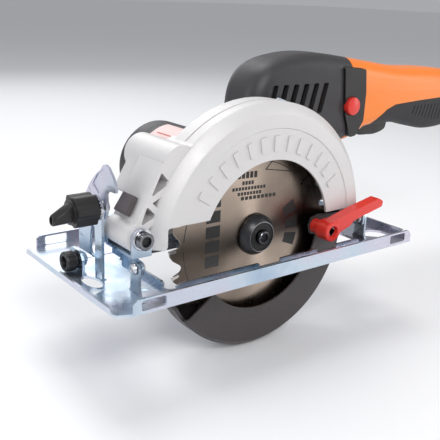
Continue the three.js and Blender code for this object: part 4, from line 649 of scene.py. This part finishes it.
# spindle lock
sb = U(cZ(-15, 22, 2.4, 50.4, 56.5, 32), lathe([(0, 55.8), (4.4, 55.8), (4.4, 62.4), (4.0, 63.2), (3.2, 63.4), (0, 63.2)], -15, 22, 56, "Z"))
piece("spindle_lock_button_body", sb, "spindle_lock", "black_plastic", ["spindle_lock_button"], bevel=0.2)

# depth clamp
bx, bz = PIV_X + ARC_R * math.cos(ARC_A0 * D2R), PIV_Z + ARC_R * math.sin(ARC_A0 * D2R)
lv = U(cY(bx, bz, 6.4, 14.2, 21.4, 56, ch=0.5), xz(rounded([(bx - 4.2, bz + 4), (bx + 5, bz + 4), (bx + 26, bz + 24), (bx + 24, bz + 28), (bx + 18, bz + 28)], [0, 2, 2, 2, 3]), 15, 20.6))
piece("depth_lock_lever_body", D(lv, cY(bx, bz, 2.4, 13, 18.5, 32)), "depth_lock", "black_plastic", ["depth_lock_lever"], bevel=0.8, seg=3)

# ------------------------------------------------------------------ body and handle
BODY = [(13, 50.5), (22, 44.5), (30, 39), (44, 39.5), (60, 44.5), (92, 42), (100, 41.5), (112, 46), (128, 48.6), (150, 49.4), (170, 45.4), (186, 42.2), (205, 42.6), (222, 46), (236, 50.5), (243, 57), (244, 68), (240, 78), (222, 84), (190, 87.5), (150, 89.5), (110, 95), (70, 100), (44, 99), (24, 93.5), (14, 82), (11, 66)]


def catmull(pts, n=6):
    out, m = [], len(pts)
    for i in range(m):
        p0, p1, p2, p3 = (Vector(pts[(i + k - 1) % m]) for k in range(4))
        for k in range(n):
            t = k / n
            q = 0.5 * ((2 * p1) + (p2 - p0) * t + (2 * p0 - 5 * p1 + 4 * p2 - p3) * t * t + (3 * p1 - p0 - 3 * p2 + p3) * t ** 3)
            out.append((q.x, q.y))
    return out


def offset(pts, d):
    """move an outline inward by d, along vertex normals"""
    n, o = len(pts), []
    for i in range(n):
        a, b, c = Vector(pts[i - 1]), Vector(pts[i]), Vector(pts[(i + 1) % n])
        e1, e2 = (b - a).normalized(), (c - b).normalized()
        m = Vector((-e1.y, e1.x)) + Vector((-e2.y, e2.x))
        k = 2 / max(m.length_squared, 0.5)
        o.append((b.x + m.x * k * d, b.y + m.y * k * d))
    return o


SM = catmull([(x * 0.9985 + 0.15, z) for x, z in offset(BODY, 0.25)], 5)


def loft_body(d, rr=10.5, n=10):
    """side outline SM inset by d, its long edges rounded over by about rr, between the two side faces"""
    base = offset(SM, d)
    y0, y1 = HY0 + d, HY1 - d
    rr = rr - d
    rings = []
    for k in range(n + 1):
        a = (90 * k / n) * D2R
        rings.append((offset(base, rr * (1 - math.sin(a))), y0 + rr * (1 - math.cos(a))))
    for k in range(n, -1, -1):
        a = (90 * k / n) * D2R
        rings.append((offset(base, rr * (1 - math.sin(a))), y1 - rr * (1 - math.cos(a))))
    m, v, f = len(SM), [], []
    for pts, y in rings: v += [(x, y, z) for x, z in pts]
    for r in range(len(rings) - 1):
        for i in range(m):
            j = (i + 1) % m
            f.append((r * m + i, r * m + j, (r + 1) * m + j, (r + 1) * m + i))
    f.append(tuple(range(m))); f.append(tuple(range(len(v) - 1, len(v) - m - 1, -1)))
    return mesh(v, f)


FULL = loft_body(0.0)
INNER = loft_body(3.2)
SPLIT = 96.0
vh = I(FULL, box(-40, SPLIT - 0.2, 0, 100, 0, 140))
vh = D(vh, I(INNER, box(-40, SPLIT + 5, 0, 100, 0, 140)), cY(MX, MZ, 30.6, 10, 120, 128))
cuts = []
for y in (HY0 - 3, HY1 - 4):
    for i in range(6):
        cuts.append(xz(rounded([(22 + i * 8.6, 63), (26.4 + i * 8.6, 63), (31.4 + i * 8.6, 82), (27.0 + i * 8.6, 82)], 1.2), y, y + 7))
vh = D(vh, *cuts, box(0, 19.8, 36, 61, 38, 49.9))
PANEL = [(86.2, 91.8), (90, 60), (96, 44.7), (102, 45.4), (108.9, 55.2), (109.1, 74), (106.9, 89.8)]
vh = D(vh, xz(rounded(PANEL, [2, 4, 2, 2, 4, 5, 2]), HY0 - 6, HY0 + 3.7))
piece("vent_housing_body", vh, "head", "dark_plastic", ["vent_housing"], bevel=0.45, seg=3, angle=35)

GRIP = xz(rounded([(108, 30), (112, 51), (120, 51.5), (134, 61), (143, 64), (170, 65.5), (214, 67), (224, 60), (232, 60), (232, 30)], [0, 3, 4, 4, 4, 4, 4, 3, 0, 0]), 0, 100)
core = I(FULL, box(SPLIT + 0.2, 260, 0, 100, 0, 140))


def shell(side):
    s = D(core, I(INNER, box(SPLIT - 5, 238, 0, 100, 0, 140)))
    s = I(s, box(0, 300, 0, HY - 0.15, 0, 140) if side < 0 else box(0, 300, HY + 0.15, 100, 0, 140))
    s = D(s, rbox(112, 150, HY - 7, HY + 7, 30, 58, 2.0), cX(HY, 64, 5.4, 220, 260, 48))
    s = D(s, D(GRIP, loft_body(1.8)))
    if side < 0: s = D(s, xz(rounded(PANEL, [2, 4, 2, 2, 4, 5, 2]), HY0 - 6, HY0 + 3.7))
    for x, z in ((113, 84), (226, 74)):
        if side > 0: s = D(s, cY(x, z, 3.0, HY1 - 4.2, HY1 + 1, 40))
    return s


piece("handle_near", shell(-1), "head", "orange_plastic", ["handle_shell_near"], bevel=0.4, seg=3, angle=38)
piece("handle_far", shell(1), "head", "orange_plastic", ["handle_shell_far"], bevel=0.4, seg=3, angle=38)
for n, side in (("grip_near", -1), ("grip_far", 1)):
    s = I(D(core, loft_body(0.9)), moved(GRIP, Matrix.Identity(4)))
    s = I(s, box(0, 300, 0, HY - 0.15, 0, 140) if side < 0 else box(0, 300, HY + 0.15, 100, 0, 140))
    s = D(s, box(111, 151, HY - 8, HY + 8, 30, 59))
    # fine ribs across the grip
    y = HY0 - 1 if side < 0 else HY1 - 0.45
    s = D(s, *[xz([(x, 50), (x + 1.0, 50), (x + 5.0, 62), (x + 4.0, 62)], y, y + 1.45) for x in range(160, 214, 4)])
    piece(n + "_body", s, "head", "soft_grip", [n], bevel=0.3, angle=40)
pn = xz(rounded(offset([(86.2, 91.8), (90, 60), (96, 44.7), (102, 45.4), (108.9, 55.2), (109.1, 74), (106.9, 89.8)], 0.35), [2, 4, 2, 2, 4, 5, 2], 8), HY0 - 1.6, HY0 + 2.2)
pn = D(pn, cY(95.5, 66, 6.3, HY0 - 4, HY0 + 6, 64))
piece("switch_panel_body", pn, "head", "black_plastic", ["switch_panel"], bevel=1.1, seg=4)
lb = U(lathe([(0, HY0 - 4.4), (4.6, HY0 - 4.4), (5.6, HY0 - 4.0), (5.9, HY0 - 3.2), (5.9, HY0 - 0.2), (0, HY0 - 0.2)], 95.5, 66, 64), cY(95.5, 66, 3.2, HY0 - 0.4, HY0 + 9, 40))
piece("lock_off_button_body", lb, "lock_off", "red_plastic", ["lock_off_button"], bevel=0.25)
tr = xz(catmull([(114, 56), (114, 48), (119, 42.8), (128, 41.9), (137, 41.9), (146.4, 44.4), (148.4, 50), (148.2, 56)], 4), HY - 6.4, HY + 6.4)
piece("trigger_body", tr, "trigger", "black_plastic", ["trigger"], bevel=1.4, seg=4, angle=50)
gl = lathe([(3.6, 233.5), (5.0, 233.5), (5.0, 245.5), (7.4, 246.3), (7.6, 246.8), (7.6, 250.2), (6.9, 251.2)] + [p for k in range(6) for p in ((6.55 - k * 0.18, 252.4 + k * 3.5), (6.45 - k * 0.18, 254.0 + k * 3.5), (5.7 - k * 0.16, 254.3 + k * 3.5), (5.6 - k * 0.16, 255.6 + k * 3.5))] + [(5.4, 273.3), (3.6, 273.3)], HY, 64, 56, "X")
piece("cord_gland_body", gl, "head", "rubber", ["cord_gland"], bevel=0.15)

# ------------------------------------------------------------------ CAD nodes shown as they are, softened edges and finishes
MAT_OF = {"cast": "cast", "zinc": "zinc", "steel": "steel", "laminate": "laminate", "brass": "brass", "nylon": "nylon", "chrome": "chrome", "black_plastic": "black_plastic", "black_steel": "black_steel"}
slot_of = {s["node"]: s["material_slot"] for s in frame["record"]["subparts"]}
for n, o in frame["nodes"].items():
    m = MAT_OF.get(slot_of.get(n), None)
    if m is None: continue
    o.data.materials.clear(); o.data.materials.append(MATS[m])
    if o.hide_render: continue
    for p in o.data.polygons: p.use_smooth = True
    o.data.set_sharp_from_angle(angle=32 * D2R)
    b = o.modifiers.new("bevel", "BEVEL"); b.width = 0.00015; b.segments = 2; b.limit_method = "ANGLE"; b.angle_limit = 40 * D2R; b.harden_normals = True

# ------------------------------------------------------------------ floor, light, camera
def plane(name, size, z, mat):
    me = mesh([(-size, -size, z), (size, -size, z), (size, size, z), (-size, size, z)], [(0, 1, 2, 3)])
    me.materials.append(mat)
    o = bpy.data.objects.new(name, me); scene.collection.objects.link(o); return o


new_mat("floor", (0.86, 0.86, 0.865), 0.6, 0.0)
plane("floor", 12.0, -0.0545, MATS["floor"])
scene.view_settings.view_transform = "Standard"
w = bpy.data.worlds.new("world"); scene.world = w; w.use_nodes = True
bg = w.node_tree.nodes["Background"]; bg.inputs["Color"].default_value = (0.93, 0.95, 1.0, 1); bg.inputs["Strength"].default_value = 0.42


def area(name, loc, target, size, power, color=(1, 1, 1)):
    l = bpy.data.lights.new(name, "AREA"); l.shape = "RECTANGLE"; l.size = size[0]; l.size_y = size[1]; l.energy = power; l.color = color
    o = bpy.data.objects.new(name, l); scene.collection.objects.link(o); o.location = loc
    o.rotation_euler = (Vector(target) - Vector(loc)).to_track_quat("-Z", "Y").to_euler()
    return o


T = (0.0, -0.03, 0.03)
area("key", (-0.35, -0.95, 0.75), T, (0.45, 0.45), 7.0)
area("top", (0.05, 0.35, 1.1), T, (0.5, 0.9), 6.5)
area("fill", (0.9, -0.6, 0.4), T, (0.3, 0.9), 2.6, (1.0, 0.985, 0.96))
area("left", (-1.0, 0.25, 0.35), T, (0.3, 0.9), 3.2, (0.95, 0.97, 1.0))
area("back", (0.2, 1.1, 0.6), T, (0.8, 0.4), 2.6)

# the camera's axes and place, worked out from the saw's own proportions
r2, u2, back = Vector((0.79300, -0.60795, 0.03937)), Vector((0.15639, 0.26560, 0.95131)), Vector((-0.58880, -0.74824, 0.30570))
C = Vector((-0.2587, -0.3508, 0.1474))
cam = bpy.data.cameras.new("camera"); co = bpy.data.objects.new("camera", cam); scene.collection.objects.link(co)
cam.sensor_width = 36.0; cam.lens = 36.0 * 706.69 / 440.0; cam.clip_start = 0.01; cam.clip_end = 50
M = Matrix((r2, u2, back)).transposed().to_4x4(); M.translation = C
co.matrix_world = M
scene.camera = co
